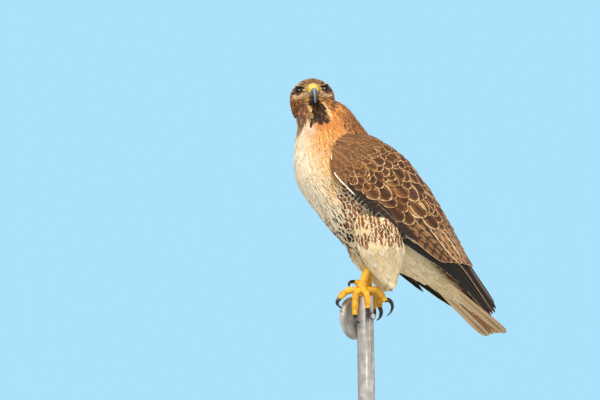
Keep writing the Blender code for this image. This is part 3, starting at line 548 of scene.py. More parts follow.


# The eye's wet front: sharp highlights over a red-brown iris 9.4 mm wide and a black pupil. The pupil is set
# high and wide, so its black also stands as painted shade from the brow over the eye's top
eye_finishes = []
for place, side in zip(EYES, (1, -1)):
    aim = Vector((PUPIL_AIM.x, side * PUPIL_AIM.y, PUPIL_AIM.z))
    finish, tree, shader = finish_of("wet_eye_" + ("left" if side > 0 else "right"), 0.05)
    middle = HEAD_FRAME @ (place + aim * EYE_RADIUS) * 0.001
    here = add(tree, "TexCoord").outputs["Object"]
    away = add(tree, "VectorMath", [here, middle], operation="DISTANCE").outputs["Value"]
    share = add(tree, "Math", [away, IRIS_REACH], operation="DIVIDE")
    stops = [(0.0, "030202"), (0.52, "040303"), (0.6, "3E170C"), (0.85, "8C4426"), (0.98, "A86840")]
    iris = add(tree, "ValToRGB", [share], stops)
    fleck = add(tree, "TexNoise", {"Vector": here, "Scale": 1200.0})
    shade = add(tree, "ValToRGB", [fleck], [(0.3, "909090"), (0.7, "FFFFFF")])
    feed(shader, {"Base Color": add(tree, "MixRGB", [0.6, iris, shade], blend_type="MULTIPLY")})
    eye_finishes.append(finish)

# Bare lid: matt skin with creases about 1 mm apart, black above the eye as painted shade from the brow, and
# cream below it
LID_SKIN, tree, shader = finish_of("bare_lid_skin", 0.6)
place = add(tree, "TexCoord").outputs["Object"]
# Painted shade: the lid turns black towards its top, as if in the brow's shadow
share = add(tree, "Math", [along_head(tree, 2, EYES[0].z - 7), 80.0], operation="MULTIPLY")
stops = [(0.0, "E6D6B8"), (0.2, "CDB48C"), (0.42, "3A2A20"), (0.6, "120C0A")]
crease = add(tree, "TexVoronoi", {"Vector": place, "Scale": 1000.0})
bump = add(tree, "Bump", {"Height": crease.outputs["Distance"], "Strength": 0.4, "Distance": 0.0003})
feed(shader, {"Base Color": add(tree, "ValToRGB", [share], stops), "Normal": bump})

for place, side, finish, name in zip(EYES, (1, -1), eye_finishes, ("eye_left", "eye_right")):
    aim = Vector((EYE_AIM.x, side * EYE_AIM.y, EYE_AIM.z))
    globe = bmesh.new()
    bmesh.ops.create_uvsphere(globe, u_segments=48, v_segments=32, radius=EYE_RADIUS)
    bmesh.ops.transform(globe, matrix=HEAD_FRAME @ aimed(aim, place), verts=globe.verts)
    eye = add_piece(name + "_globe", globe, finish, [name])
    ring = turned(LID_PROFILE, 48)
    for vert in ring.verts:
        vert.co.z -= LID_SAG * vert.co.x * vert.co.x
    bmesh.ops.transform(ring, matrix=HEAD_FRAME @ aimed(aim, place), verts=ring.verts)
    lid = add_piece("lid_" + name[4:], ring, LID_SKIN, smooth=60)

# The bill: a hooked sheath of horn over a shallow scoop, with the waxy yellow cere at its root.
# The cere holds the nostrils, and its yellow runs back along the gape. Each section of the cere
# and of the scoop has its place forward, half width, and top and bottom, or middle and half height.
CERE = [(28, 9.2, 13.4, -4), (34, 8.8, 12.0, -5), (39, 8.0, 9.2, -6), (43.5, 6.9, 6.2, -7)]
NOSTRIL = (38.5, 7.9, 4.2)
NOSTRIL_SIZE = (2.3, 1.7, 1.5)
BILL_CENTRE = (42.5, -17.6)
BILL_RADIUS = 16
BILL_TURN = math.radians(106)
BILL_ROOT = (6.6, 7.8)
BILL_TIP = (0.7, 0.8)
# How far the horn stays darker than at its root, in metres from its tip
HORN_REACH = 0.024
SCOOP = [
    (23, 15.8, -12.0, 1.3), (31, 11.2, -11.6, 1.7), (38, 7.6, -12.4, 2.6), (46, 4.8, -14.2, 2.5),
    (50, 2.4, -15.2, 1.5),
]


def cere_skin(k, angle):
    forward, half_width, top, bottom = np.moveaxis(row_at(CERE, k), -1, 0)
    high = (top - bottom) / 2
    y, z = oval(angle, half_width, high, high, 2.1)
    return in_head(np.stack([forward, y, (top + bottom) / 2 + z], -1))


def upper_bill(u, angle):
    """The hook, at a share u of its curve. Its ridge is narrower than its cutting edges."""
    turn = u * BILL_TURN
    taper = np.clip(1 - u, 0, 1) ** 0.85
    half_width = BILL_TIP[0] + (BILL_ROOT[0] - BILL_TIP[0]) * taper
    half_height = BILL_TIP[1] + (BILL_ROOT[1] - BILL_TIP[1]) * taper
    y, up = oval(angle, half_width, half_height, half_height, 2.0)
    y = y * (1 - 0.22 * np.clip(np.sin(angle), 0, 1))
    forward = BILL_CENTRE[0] + np.sin(turn) * (BILL_RADIUS + up)
    height = BILL_CENTRE[1] + np.cos(turn) * (BILL_RADIUS + up)
    return in_head(np.stack([forward, y, height], -1))


def lower_bill(k, angle):
    forward, half_width, middle, high = np.moveaxis(row_at(SCOOP, k), -1, 0)
    y, z = oval(angle, half_width, high, high, 2.0)
    return in_head(np.stack([forward, y, middle + z], -1))


# Cere: soft yellow skin with a waxy gloss, a little greener in its hollows
WAX, tree, shader = finish_of("waxy_cere_skin", 0.38, Subsurface_Weight=0.08)
place = add(tree, "TexCoord").outputs["Object"]
patch = add(tree, "TexNoise", {"Vector": place, "Scale": 260.0, "Detail": 3.0})
colour = add(tree, "ValToRGB", [patch], [(0.3, "C9A42C"), (0.55, "EBCB3E"), (0.75, "F2DC5E")])
bump = add(tree, "Bump", {"Height": patch, "Strength": 0.3, "Distance": 0.0006})
feed(shader, {"Base Color": colour, "Normal": bump})

# Bill horn: polished, blue-grey at its root and black at its tip, with growth lines and a painted highlight
# along its ridge
HORN, tree, shader = finish_of("polished_bill_horn", 0.16)
place = add(tree, "TexCoord").outputs["Object"]
tip = Vector(in_head(np.array([BILL_CENTRE[0] + 15, 0, BILL_CENTRE[1] - 4.5]))) * 0.001
away = add(tree, "VectorMath", [place, tip], operation="DISTANCE").outputs["Value"]
share = add(tree, "Math", [away, HORN_REACH], operation="DIVIDE")
horn = add(tree, "ValToRGB", [share], [(0.0, "0E0F12"), (0.35, "24282F"), (0.7, "59626F"), (1.0, "8793A3")])
growth = add(tree, "TexNoise", {"Vector": place, "Scale": 420.0, "Detail": 4.0})
shade = add(tree, "ValToRGB", [growth], [(0.3, "B4B4B4"), (0.7, "FFFFFF")])
colour = add(tree, "MixRGB", [0.5, horn, shade], blend_type="MULTIPLY")
# Painted highlight: the horn is mixed towards pale blue-grey within about 2 mm of the ridge's middle
aside = add(tree, "Math", [along_head(tree, 1, 0)], operation="ABSOLUTE")
share = add(tree, "Math", [aside, 400.0], operation="MULTIPLY")
ridge = add(tree, "ValToRGB", [share], [(0.1, "B0B0B0"), (0.7, "000000")])
colour = add(tree, "MixRGB", [ridge, colour, linear("B4C0D2")])
# The cere's yellow skin reaches down over the horn's root at both sides
waxy = add(tree, "Math", [aside, 0.9, along_head(tree, 2, 0)], operation="MULTIPLY_ADD")
waxy = add(tree, "MapRange", {"Value": waxy, "From Min": 0.0030, "From Max": 0.0040})
feed(shader, {"Base Color": add(tree, "MixRGB", [waxy, colour, linear("EBCB3E")])})

# Lower bill: the same horn, which turns to yellow skin where it runs back along the gape
GAPE, tree, shader = finish_of("horn_with_yellow_gape", 0.3)
share = add(tree, "Math", [along_head(tree, 0, 30), 60.0], operation="MULTIPLY")
stops = [(0.0, "E6CC4A"), (0.3, "D9BC3C"), (0.5, "3A4049"), (1.0, "22262C")]
feed(shader, {"Base Color": add(tree, "ValToRGB", [share], stops)})

cere = add_piece("cere_skin", sleeve(cere_skin, 0, 3, 16, 40), WAX, ["cere"], smooth=60)
nostrils = []
for side in (1, -1):
    hollow = bmesh.new()
    bmesh.ops.create_uvsphere(hollow, u_segments=20, v_segments=12, radius=1)
    bmesh.ops.scale(hollow, vec=NOSTRIL_SIZE, verts=hollow.verts)
    bmesh.ops.translate(hollow, vec=(NOSTRIL[0], side * NOSTRIL[1], NOSTRIL[2]), verts=hollow.verts)
    bmesh.ops.transform(hollow, matrix=HEAD_FRAME, verts=hollow.verts)
    nostrils.append(hollow)
cut_away(cere, nostrils)
upper = add_piece("bill_hook", sleeve(upper_bill, 0, 1, 30, 32), HORN, ["bill_upper"], smooth=60)
lower = add_piece("bill_scoop", sleeve(lower_bill, 0, 4, 16, 24), GAPE, ["bill_lower"], smooth=60)

# The feet: bare shanks and toes in yellow scales, broad scutes along their fronts and tops and
# pebbled ones between, with pads under the joints. Each toe ends in a curved black claw. Their
# rows run from root to tip, each with a place from the foot's level up, and a radius.
SHANKS = {
    "left": [
        (6, -32, 84, 6.5), (2, -26, 58, 5.6), (-3, -19, 38, 5.4), (-7, -11, 19, 6.0), (-9, -7, 7, 7.6),
        (-9, -6, 3.6, 6.6),
    ],
    "right": [
        (16, 32, 84, 6.5), (17, 27, 58, 5.6), (16, 21, 38, 5.4), (12, 14, 21, 6.0), (9, 9.5, 9, 7.4),
        (9, 9, 4.0, 6.4),
    ],
}
TOES = {
    ("left", 1): [
        (-2, -6, 5.5, 5.4), (10, -6, 6.5, 5.2), (20, -6, 3.5, 5.6), (27, -5, -3.5, 5.0), (31, -5, -10, 5.2),
    ],
    ("left", 2): [
        (-12, -3, 4.5, 5.4), (-22, 0, 5.0, 5.0), (-31, 2, 1.5, 5.2), (-38, 3, -4.5, 4.6), (-41.5, 3, -9, 4.6),
    ],
    ("left", 3): [
        (-13, -8, 4.5, 5.4), (-18.8, -8, -3, 5.0), (-19.2, -6, -12, 5.2), (-19, -4, -24, 4.6),
        (-18.6, -3.5, -33, 4.4),
    ],
    ("left", 4): [
        (-9, -12, 4.5, 5.2), (-7, -18.5, -2, 4.6), (-6, -19.6, -10, 4.8), (-5.5, -19.4, -18, 4.2),
        (-5, -19, -24, 4.2),
    ],
    ("right", 1): [
        (14, 9, 6.5, 5.2), (22, 11, 4.5, 5.0), (28, 13, -2, 5.2), (31, 14, -11, 4.6), (31, 14, -17, 4.6),
    ],
    ("right", 2): [(6, 13, 8, 5.2), (1.5, 17.5, 14, 4.8), (-3, 20, 19.5, 4.6), (-7.5, 21, 21.5, 3.8)],
    ("right", 3): [
        (9, 15, 6, 5.2), (8, 25, 4.5, 5.0), (6, 33, -3, 5.2), (5, 35.5, -14, 4.6), (5, 35, -23, 4.4),
    ],
    ("right", 4): [
        (14, 15, 6.5, 5.0), (21, 22, 4.5, 4.6), (27, 27, -3, 4.8), (29, 28.5, -12, 4.2), (29, 28, -19, 4.2),
    ],
}
CLAWS = {
    ("left", 1): [
        (31.5, -5, -8.5, 3.6), (37.5, -5, -8, 3.3), (42.5, -5, -12.5, 2.8), (43.5, -5, -19.5, 2.2),
        (40, -5, -27, 1.5), (34, -5, -32.5, 0.5),
    ],
    ("left", 2): [(-42, 3, -9.5, 3.1), (-45, 3, -14, 2.7), (-43.5, 2.6, -19.5, 2.0), (-36.5, 2.2, -24, 0.5)],
    ("left", 3): [
        (-18.6, -4, -33.5, 3.0), (-18.6, -5.5, -39, 2.6), (-17.5, -8.5, -43.5, 1.8), (-13.5, -11.5, -46, 0.5),
    ],
    ("left", 4): [
        (-5, -19.2, -24.5, 2.9), (-4.5, -20.5, -29, 2.4), (-3.5, -20, -34, 1.7), (-1.5, -16.8, -38, 0.5),
    ],
    ("right", 1): [(31.5, 14, -17, 3.4), (34, 14.3, -24, 3.0), (32, 14.3, -32, 2.2), (25.5, 13.5, -38, 0.5)],
    ("right", 2): [(-8, 21, 21.5, 2.9), (-14, 21, 20.8, 2.6), (-17.3, 20.6, 16.5, 1.9), (-16, 20, 10.5, 0.5)],
    ("right", 3): [(5, 35.4, -23.5, 3.0), (5, 37, -29, 2.6), (5.5, 36.6, -35, 1.8), (6, 32.5, -40, 0.5)],
    ("right", 4): [(29.2, 28.3, -19, 2.8), (30.5, 29.5, -25, 2.3), (30, 29, -31, 1.6), (27.5, 27, -35, 0.5)],
}
SCUTE_LENGTH = 3.4


def limb(rows, upper_side, scute=0.0, knuckles=0.0, end_taper=1.0):
    """A bent tube through rows of x, y, z and radius, with scutes raised along its upper side."""
    last = len(rows) - 1
    line = row_at(rows, np.linspace(0, last, 60))
    length = np.linalg.norm(np.diff(line[:, :3], axis=0), axis=1).sum()

    def surface(k, angle):
        k, angle = np.broadcast_arrays(np.asarray(k, float), angle)
        row, before, after = row_at(rows, k), row_at(rows, k - 0.03), row_at(rows, k + 0.03)
        ahead = unit(after[..., :3] - before[..., :3])
        side = unit(np.cross(ahead, np.broadcast_to(np.asarray(upper_side, float), ahead.shape)))
        top = np.cross(side, ahead)
        share = k / last
        radius = row[..., 3] * (1 + knuckles * np.cos(math.tau * 3 * share))
        radius = radius * (1 - (1 - end_taper) * np.clip((share - 0.85) / 0.15, 0, 1) ** 2)
        step = (share * length / SCUTE_LENGTH) % 1.0
        raised = scute * np.clip(np.sin(angle) * 1.6 - 0.15, 0, 1) * (np.sqrt(np.sin(math.pi * step)) - 0.35)
        radius = radius + raised
        out = side * np.cos(angle)[..., None] + top * np.sin(angle)[..., None]
        return row[..., :3] + out * radius[..., None] + (0, 0, FOOT_LEVEL)

    return sleeve(surface, 0, last, max(14, int(length * (1.5 if scute else 0.8))), 24)


# Leg scales: hard yellow skin with orange in the creases. The pebbles are about 1.6 mm across
SCALE_SKIN, tree, shader = finish_of("scaled_leg_skin", 0.36)
place = add(tree, "TexCoord").outputs["Object"]
pebble = add(tree, "TexVoronoi", {"Vector": place, "Scale": 620.0}, feature="DISTANCE_TO_EDGE")
crack = add(tree, "ValToRGB", [pebble.outputs["Distance"]], [(0.0, "9C5A14"), (0.10, "FFFFFF")])
patch = add(tree, "TexNoise", {"Vector": place, "Scale": 110.0, "Detail": 3.0})
yellow = add(tree, "ValToRGB", [patch], [(0.3, "E29A20"), (0.48, "FBC22C"), (0.72, "FFDC50")])
colour = add(tree, "MixRGB", [0.75, yellow, crack], blend_type="MULTIPLY")
bump = add(tree, "Bump", {"Height": crack, "Strength": 0.5, "Distance": 0.0005})
feed(shader, {"Base Color": colour, "Normal": bump})

# Claw horn: black, smooth and glossy, with faint streaks along it
CLAW_HORN, tree, shader = finish_of("black_claw_horn", 0.2)
place = add(tree, "TexCoord").outputs["Object"]
streak = add(tree, "TexNoise", {"Vector": place, "Scale": 300.0, "Detail": 3.0})
feed(shader, {"Base Color": add(tree, "ValToRGB", [streak], [(0.3, "121113"), (0.8, "3A3637")])})

for side, rows in SHANKS.items():
    front = (-1, -0.2 if side == "left" else 0.2, 0)
    shank = add_piece("shank_scales_" + side, limb(rows, front, 0.7), SCALE_SKIN, ["shank_" + side], 70)
    for number in (1, 2, 3, 4):
        rows = TOES[side, number]
        name = f"{side}_{number}"
        top = (rows[-2][0] * 0.6, rows[-2][1] * 0.6, 26)
        scales = limb(rows, top, 0.65, 0.07, 0.72)
        toe = add_piece("toe_scales_" + name, scales, SCALE_SKIN, ["toe_" + name], 70)
        claw = add_piece("claw_horn_" + name, limb(CLAWS[side, number], top), CLAW_HORN, ["claw_" + name], 70)

# The small feathers of the body: flat curved vanes that grow from the skin in staggered rows and
# lie back over one another. Head feathers are the smallest, thigh feathers long and soft.
CHANCE = np.random.default_rng(17)
UV_PATCH = 0.003
planted = {"place": [], "ground": []}


def vane_of(across, along, blunt=1.5):
    """A closed flat vane as arrays: x from -1 to 1, share of its length, its level and its faces."""
    bm = bmesh.new()
    bmesh.ops.create_grid(bm, x_segments=across, y_segments=along, size=1)
    bmesh.ops.solidify(bm, geom=bm.faces[:], thickness=1)
    bmesh.ops.recalc_face_normals(bm, faces=bm.faces)
    bm.verts.ensure_lookup_table()
    co = np.array([v.co for v in bm.verts])
    faces = np.array([[v.index for v in face.verts] for face in bm.faces])
    bm.free()
    share = 1 - (1 - np.round((co[:, 1] + 1) / 2, 4)) ** blunt
    level = (co[:, 2] - co[:, 2].min()) / np.ptp(co[:, 2])
    rows, row_of = np.unique(share, return_inverse=True)
    return {"x": co[:, 0], "share": share, "level": level, "rows": rows, "row_of": row_of, "faces": faces}


def ease(value, low, high):
    """0 below low and 1 above high, with a soft step between."""
    share = np.clip((np.asarray(value, float) - low) / (high - low), 0, 1)
    return share * share * (3 - 2 * share)


def tinted(colour):
    """A hex colour as three linear values, or a list of colours as it is."""
    return np.asarray(linear(colour)[:3] if isinstance(colour, str) else colour, float)


def mix(a, b, share):
    """Two colours or lists of colours, blended by shares."""
    a, b = tinted(a), tinted(b)
    return a + (b - a) * np.asarray(share, float)[..., None]


def staggered(surface, a_span, b_span, along, across):
    """Places in staggered rows over a surface, with steps along and across it that may change with a."""
    found, a, odd = [], a_span[0], 0.0
    fine = np.linspace(*b_span, 161)
    while a < a_span[1]:
        line = surface(np.full(161, a), fine)
        walked = np.concatenate(([0], np.cumsum(np.linalg.norm(np.diff(line, axis=0), axis=1))))
        pace = np.linalg.norm(surface(np.full(161, a + 0.01), fine) - line, axis=1).mean() / 0.01
        step = along(a) if callable(along) else along
        wide = across(a) if callable(across) else across
        count = max(3, int(walked[-1] / wide))
        spots = (np.arange(count) + 0.25 + odd + CHANCE.uniform(-0.2, 0.2, count)) / count
        b = np.interp(np.clip(spots, 0, 1) * walked[-1], walked, fine)
        found.append(np.stack([a + CHANCE.uniform(-0.25, 0.25, count) * step / pace, b], 1))
        a, odd = a + step / pace, 0.5 - odd
    return np.concatenate(found)


def on_skin(surface, roots, reach=1.7):
    """Which places lie on the fused skin, and not inside a neighbouring part."""
    points = surface(roots[:, 0], roots[:, 1]) * 0.001
    return np.array([(skin_tree.find_nearest(Vector(p))[3] or 1) < reach * 0.001 for p in points])


def tips_of(surface, roots, length, turn=0.0):
    """Where vanes of some length end when they lie along a surface, turned aside by an angle."""
    a, b = roots.T
    pace_a = np.linalg.norm(surface(a + 0.02, b) - surface(a - 0.02, b), axis=1) / 0.04
    pace_b = np.linalg.norm(surface(a, b + 0.02) - surface(a, b - 0.02), axis=1) / 0.04
    ahead, aside = length * np.cos(turn), length * np.sin(turn)
    return roots + np.stack([ahead / pace_a, aside / np.maximum(pace_b, 3)], 1)


def lay(
    surface, middle, roots, tips, vane, half_width, heights, outline, thickness=0.35, camber=0.12, lean=0.0
):
    """The points of vanes that follow a surface from root to tip, and their roots."""
    along = roots[:, None, :] + (tips - roots)[:, None, :] * vane["rows"][None, :, None]
    a, b = along[..., 0], along[..., 1]
    spine = surface(a, b)
    out = outward(surface, a, b, middle)
    ahead = unit(np.gradient(spine, axis=1))
    across = unit(np.cross(out, ahead))
    out = np.cross(ahead, across)
    half_width, lean, low, high = (
        np.broadcast_to(value, len(roots))[:, None] for value in (half_width, lean, *heights)
    )
    wide = np.interp(vane["rows"], *zip(*outline))[None, :] * half_width
    lift = low + (high - low) * vane["rows"][None, :] ** 0.8
    j = vane["row_of"]
    x = vane["x"][None, :]
    aside = x * wide[:, j]
    rise = lift[:, j] + (vane["level"][None, :] - 0.5) * thickness - camber * x * aside + lean * aside
    return spine[:, j] + across[:, j] * aside[..., None] + out[:, j] * rise[..., None]


def plant(name, batches, finish, patch=UV_PATCH):
    """One coat piece from batches of vanes: points, vane, looks and each root's place on the unwrap."""
    points, faces, vane_uv, bake_uv, looks, start = [], [], [], [], [], 0
    for laid, vane, look, unwrap in batches:
        count, size = laid.shape[:2]
        shape = vane["faces"]
        numbers = shape[None] + (np.arange(count) * size)[:, None, None] + start
        across, share = (vane["x"][shape] + 1) / 2, vane["share"][shape]
        own = np.stack([across, share], -1)
        own = np.broadcast_to(own, (count, *own.shape))
        points.append(laid.reshape(-1, 3))
        faces.append(numbers.reshape(-1, 4))
        vane_uv.append(own.reshape(-1, 2))
        sizes = np.broadcast_to(patch, 2)
        bake_uv.append((unwrap[:, None, None, :] + (own - 0.5) * sizes).reshape(-1, 2))
        upper = np.broadcast_to(vane["level"], (count, size))
        top = np.flatnonzero(vane["level"] > 0.5)
        left, right = (top[vane["x"][top] * sign > 0.99] for sign in (-1, 1))
        half = np.linalg.norm(laid[:, left] - laid[:, right], axis=2).max(1) / 2
        length = np.linalg.norm(laid[:, left[0]] - laid[:, left[-1]], axis=1)
        build = np.stack([length / half, CHANCE.uniform(0, 1, count), 0 * half], 1)
        block = [look["ground"], look["edge"], look["mark"], look["pattern"], build]
        block = [np.repeat(values, size, axis=0) for values in block]
        looks.append(np.concatenate([*block, upper.reshape(-1, 1)], 1))
        start += count * size
        planted["place"].append(laid[:, 0])
        # Painted shade: the skin under the vanes takes their ground tint 7 % darker
        planted["ground"].append(look["ground"] * 0.93)
    points, faces, looks = np.concatenate(points) * 0.001, np.concatenate(faces), np.concatenate(looks)
    mesh = bpy.data.meshes.new(name)
    mesh.vertices.add(len(points))
    mesh.loops.add(faces.size)
    mesh.polygons.add(len(faces))
    mesh.vertices.foreach_set("co", points.ravel())
    mesh.loops.foreach_set("vertex_index", faces.ravel())
    mesh.polygons.foreach_set("loop_start", np.arange(len(faces)) * 4)
    mesh.update(calc_edges=True)
    for key, uvs in (("OFBake", bake_uv), ("vane", vane_uv)):
        mesh.uv_layers.new(name=key).data.foreach_set("uv", np.concatenate(uvs).ravel())
    for i, key in enumerate(("ground", "edge", "mark", "pattern", "build")):
        mesh.attributes.new(key, "FLOAT_VECTOR", "POINT").data.foreach_set(
            "vector", looks[:, 3 * i : 3 * i + 3].ravel()
        )
    mesh.attributes.new("upper", "FLOAT", "POINT").data.foreach_set("value", looks[:, 15].copy())
    mesh.shade_smooth()
    mesh.set_sharp_from_angle(angle=math.radians(50))
    mesh.materials.append(finish)
    made = bpy.data.objects.new(name, mesh)
    bpy.context.scene.collection.objects.link(made)
    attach(made, "root")


def unwrapped(roots, a_span, b_span, cell=(0, 0, 1, 1)):
    """Each root's place on a flat unwrap of the skin's own rows and columns, inside a cell of the map."""
    spans = np.array([b_span, a_span], float)
    share = (roots[:, ::-1] - spans[:, 0]) / (spans[:, 1] - spans[:, 0])
    share = 0.01 + 0.98 * np.clip(share, 0, 1)
    return np.array(cell[:2]) + share * (np.array(cell[2:]) - cell[:2])


def feather_finish(name, roughness, bars=3.5, barb_lines=34.0, barb_depth=0.10, shaft_shade=0.8, blur=0.1):
    """Feather keratin: matt barbs either side of a shaft. The tints, edge, streak and bars of each
    vane come with it. Real barbs lie 0.3 mm apart and are drawn about 0.8 mm apart, to show."""
    material, tree, shader = finish_of(name, roughness, Sheen_Weight=0.06, Specular_IOR_Level=0.28)
    soft = {"interpolation_type": "SMOOTHSTEP"}
    place = add(tree, "TexCoord").outputs["Object"]
    rough = add(tree, "TexNoise", {"Vector": place, "Scale": 520.0, "Detail": 2.0})
    uv = add(tree, "SeparateXYZ", [add(tree, "UVMap", uv_map="vane")]).outputs
    ground, edge_tint, mark, pattern, build = (
        add(tree, "Attribute", attribute_name=key) for key in ("ground", "edge", "mark", "pattern", "build")
    )
    edge_width, streak_width, bar_share = add(tree, "SeparateXYZ", [pattern.outputs["Vector"]]).outputs
    slimness, chance, _ = add(tree, "SeparateXYZ", [build.outputs["Vector"]]).outputs

    # How near a point is to the vane's sides and to its end, with ragged borders
    ragged = add(tree, "Math", [rough, 0.36, -0.18], operation="MULTIPLY_ADD")
    from_shaft = add(tree, "Math", [uv[0], 2.0, -1.0], operation="MULTIPLY_ADD")
    from_shaft = add(tree, "Math", [from_shaft], operation="ABSOLUTE")
    ragged_side = add(tree, "Math", [from_shaft, ragged])
    before_end = add(tree, "Math", [uv[1], 1.0], operation="SUBTRACT")
    to_end = add(tree, "Math", [before_end, slimness, 1.0], operation="MULTIPLY_ADD")
    ragged_end = add(tree, "Math", [to_end, ragged])

    # The pale edge
    rim = add(tree, "Math", [ragged_side, ragged_end], operation="MAXIMUM")
    low, high = (add(tree, "Math", [1 + step, edge_width], operation="SUBTRACT") for step in (-0.07, 0.07))
    edge = add(tree, "MapRange", [rim, low, high], **soft)
    has_edge = add(tree, "Math", [edge_width, 0.01], operation="GREATER_THAN")
    edge = add(tree, "Math", [edge, has_edge], operation="MULTIPLY")

    # The streak along the shaft, wider towards the end
    spread = add(tree, "Math", [uv[1], 0.9, 0.35], operation="MULTIPLY_ADD")
    spread = add(tree, "Math", [streak_width, spread], operation="MULTIPLY")
    past = add(tree, "Math", [ragged_side, spread], operation="SUBTRACT")
    streak = add(tree, "MapRange", [past, -blur, blur, 1.0, 0.0], **soft)
    until = add(tree, "MapRange", [ragged_end, 0.5, 0.95, 1.0, 0.0], **soft)
    has_streak = add(tree, "Math", [streak_width, 0.01], operation="GREATER_THAN")
    until = add(tree, "Math", [until, has_streak], operation="MULTIPLY")
    streak = add(tree, "Math", [streak, until], operation="MULTIPLY")

    # The bars across it, which bend back towards the sides
    phase = add(tree, "Math", [chance, math.tau], operation="MULTIPLY")
    for value, share in ((ragged, 4.0), (from_shaft, -1.6), (uv[1], bars * math.tau)):
        phase = add(tree, "Math", [value, share, phase], operation="MULTIPLY_ADD")
    bar = add(tree, "MapRange", [add(tree, "Math", [phase], operation="SINE"), 0.2, 0.75], **soft)
    bar = add(tree, "Math", [bar, bar_share], operation="MULTIPLY")
    marked = add(tree, "Math", [streak, bar], operation="MAXIMUM")
    colour = add(tree, "MixRGB", [edge, add(tree, "MixRGB", [marked, ground, mark]), edge_tint])

    # The barbs, slanting back from the shaft
    slant = add(tree, "Math", [uv[1], barb_lines], operation="MULTIPLY")
    slant = add(tree, "Math", [from_shaft, -0.3 * barb_lines, slant], operation="MULTIPLY_ADD")
    own_place = add(tree, "Math", [chance, 90.0], operation="MULTIPLY")
    lines = add(tree, "CombineXYZ", [slant, from_shaft, own_place])
    barbs = add(tree, "TexNoise", {"Vector": lines, "Scale": 1.0, "Detail": 2.0})
    shade = add(tree, "MapRange", [barbs, 0.3, 0.7, 1.0 - 2 * barb_depth, 1.0], **soft)
    shaft = add(tree, "MapRange", [from_shaft, 0.03, 0.09, shaft_shade, 1.0], **soft)
    shade = add(tree, "Math", [shade, shaft], operation="MULTIPLY")
    colour = add(tree, "MixRGB", [1.0, colour, shade], blend_type="MULTIPLY")
    bump = add(tree, "Bump", {"Height": barbs, "Strength": 0.3, "Distance": 0.0003})
    feed(shader, {"Base Color": colour, "Normal": bump})
    return material


def looks_of(ground, edge, mark, edge_width=0.0, streak=0.0, bar=0.0, vary=0.12):
    """The tints and the drawing of each vane of a batch, with a small chance difference between them."""
    count = len(ground)
    bright = 1 + CHANCE.uniform(-vary, vary, (count, 1))
    filled = [np.broadcast_to(np.asarray(v, float), count) for v in (edge_width, streak, bar)]
    return {
        "ground": ground * bright,
        "edge": np.broadcast_to(tinted(edge), ground.shape) * bright,
        "mark": np.broadcast_to(tinted(mark), ground.shape) * bright,
        "pattern": np.stack(filled, 1),
    }


BODY_VANE = vane_of(2, 5)
FACE_VANE = vane_of(2, 3)
BODY_OUTLINE = ((0.0, 0.45), (0.3, 0.85), (0.6, 1.0), (0.85, 0.8), (0.96, 0.45), (1.0, 0.12))
SOFT_OUTLINE = ((0.0, 0.4), (0.35, 0.8), (0.65, 0.85), (0.85, 0.55), (0.96, 0.25), (1.0, 0.06))
CONTOUR = feather_finish("matt_contour_feathers", 0.75, shaft_shade=0.94)


def patchy(points, size):
    """A slow chance value from -1 to 1 at each point, that changes over size millimetres."""
    return np.array([noise.noise(Vector(p) / size) for p in points])


# Face: a brown crown with buff flecks, dark brows, which are painted shade under the brow ridges, pale lores
# and a pale arc under each eye. A black-brown chin with a pale strip at each side and mottled jowls runs on
# over the neck. Its feathers are the smallest, on steps of 2 to 3 mm.
def throat_tints(ground, forward, side, up, chance):
    """Blends the chin, its pale strips and the jowls into some tints, by places in the head's frame."""
    down, ahead = -up, ease(forward, -6, 6)
    strip = np.interp(down, [8, 22, 34, 44], [8.0, 11.5, 17, 21])
    away = np.abs(side - 0.5 - 0.04 * down)
    low_edge = np.where(side < 0, 54, np.interp(side, [8, 26], [46, 22]))
    jowl = ahead * ease(away - strip, 0.5, 3) * ease(down, 5, 11) * ease(low_edge - down, 0, 8)
    mottled = mix(mix("4A2C1A", "80502E", chance), "B57C48", (chance > 0.7) * 0.8)
    ground = mix(ground, mottled, jowl * 0.9)
    pale = ahead * ease(2.6 - np.abs(away - strip), 0, 2) * ease(down, 8, 11) * ease(40 - down, 0, 8)
    ground = mix(ground, mix("E3BE8A", "96683F", chance > 0.62), pale * 0.9)
    chin = ahead * ease(strip - 2.0 - away, -1.5, 1.5) * ease(down, 7, 10)
    chin = chin * ease(44 - down - 0.3 * away, 0, 6)
    black = mix(mix("180E09", "3A2416", chance), "6A4428", (chance > 0.88) * 0.8)
    return mix(ground, black, chin), np.clip(jowl + pale + chin, 0, 1)


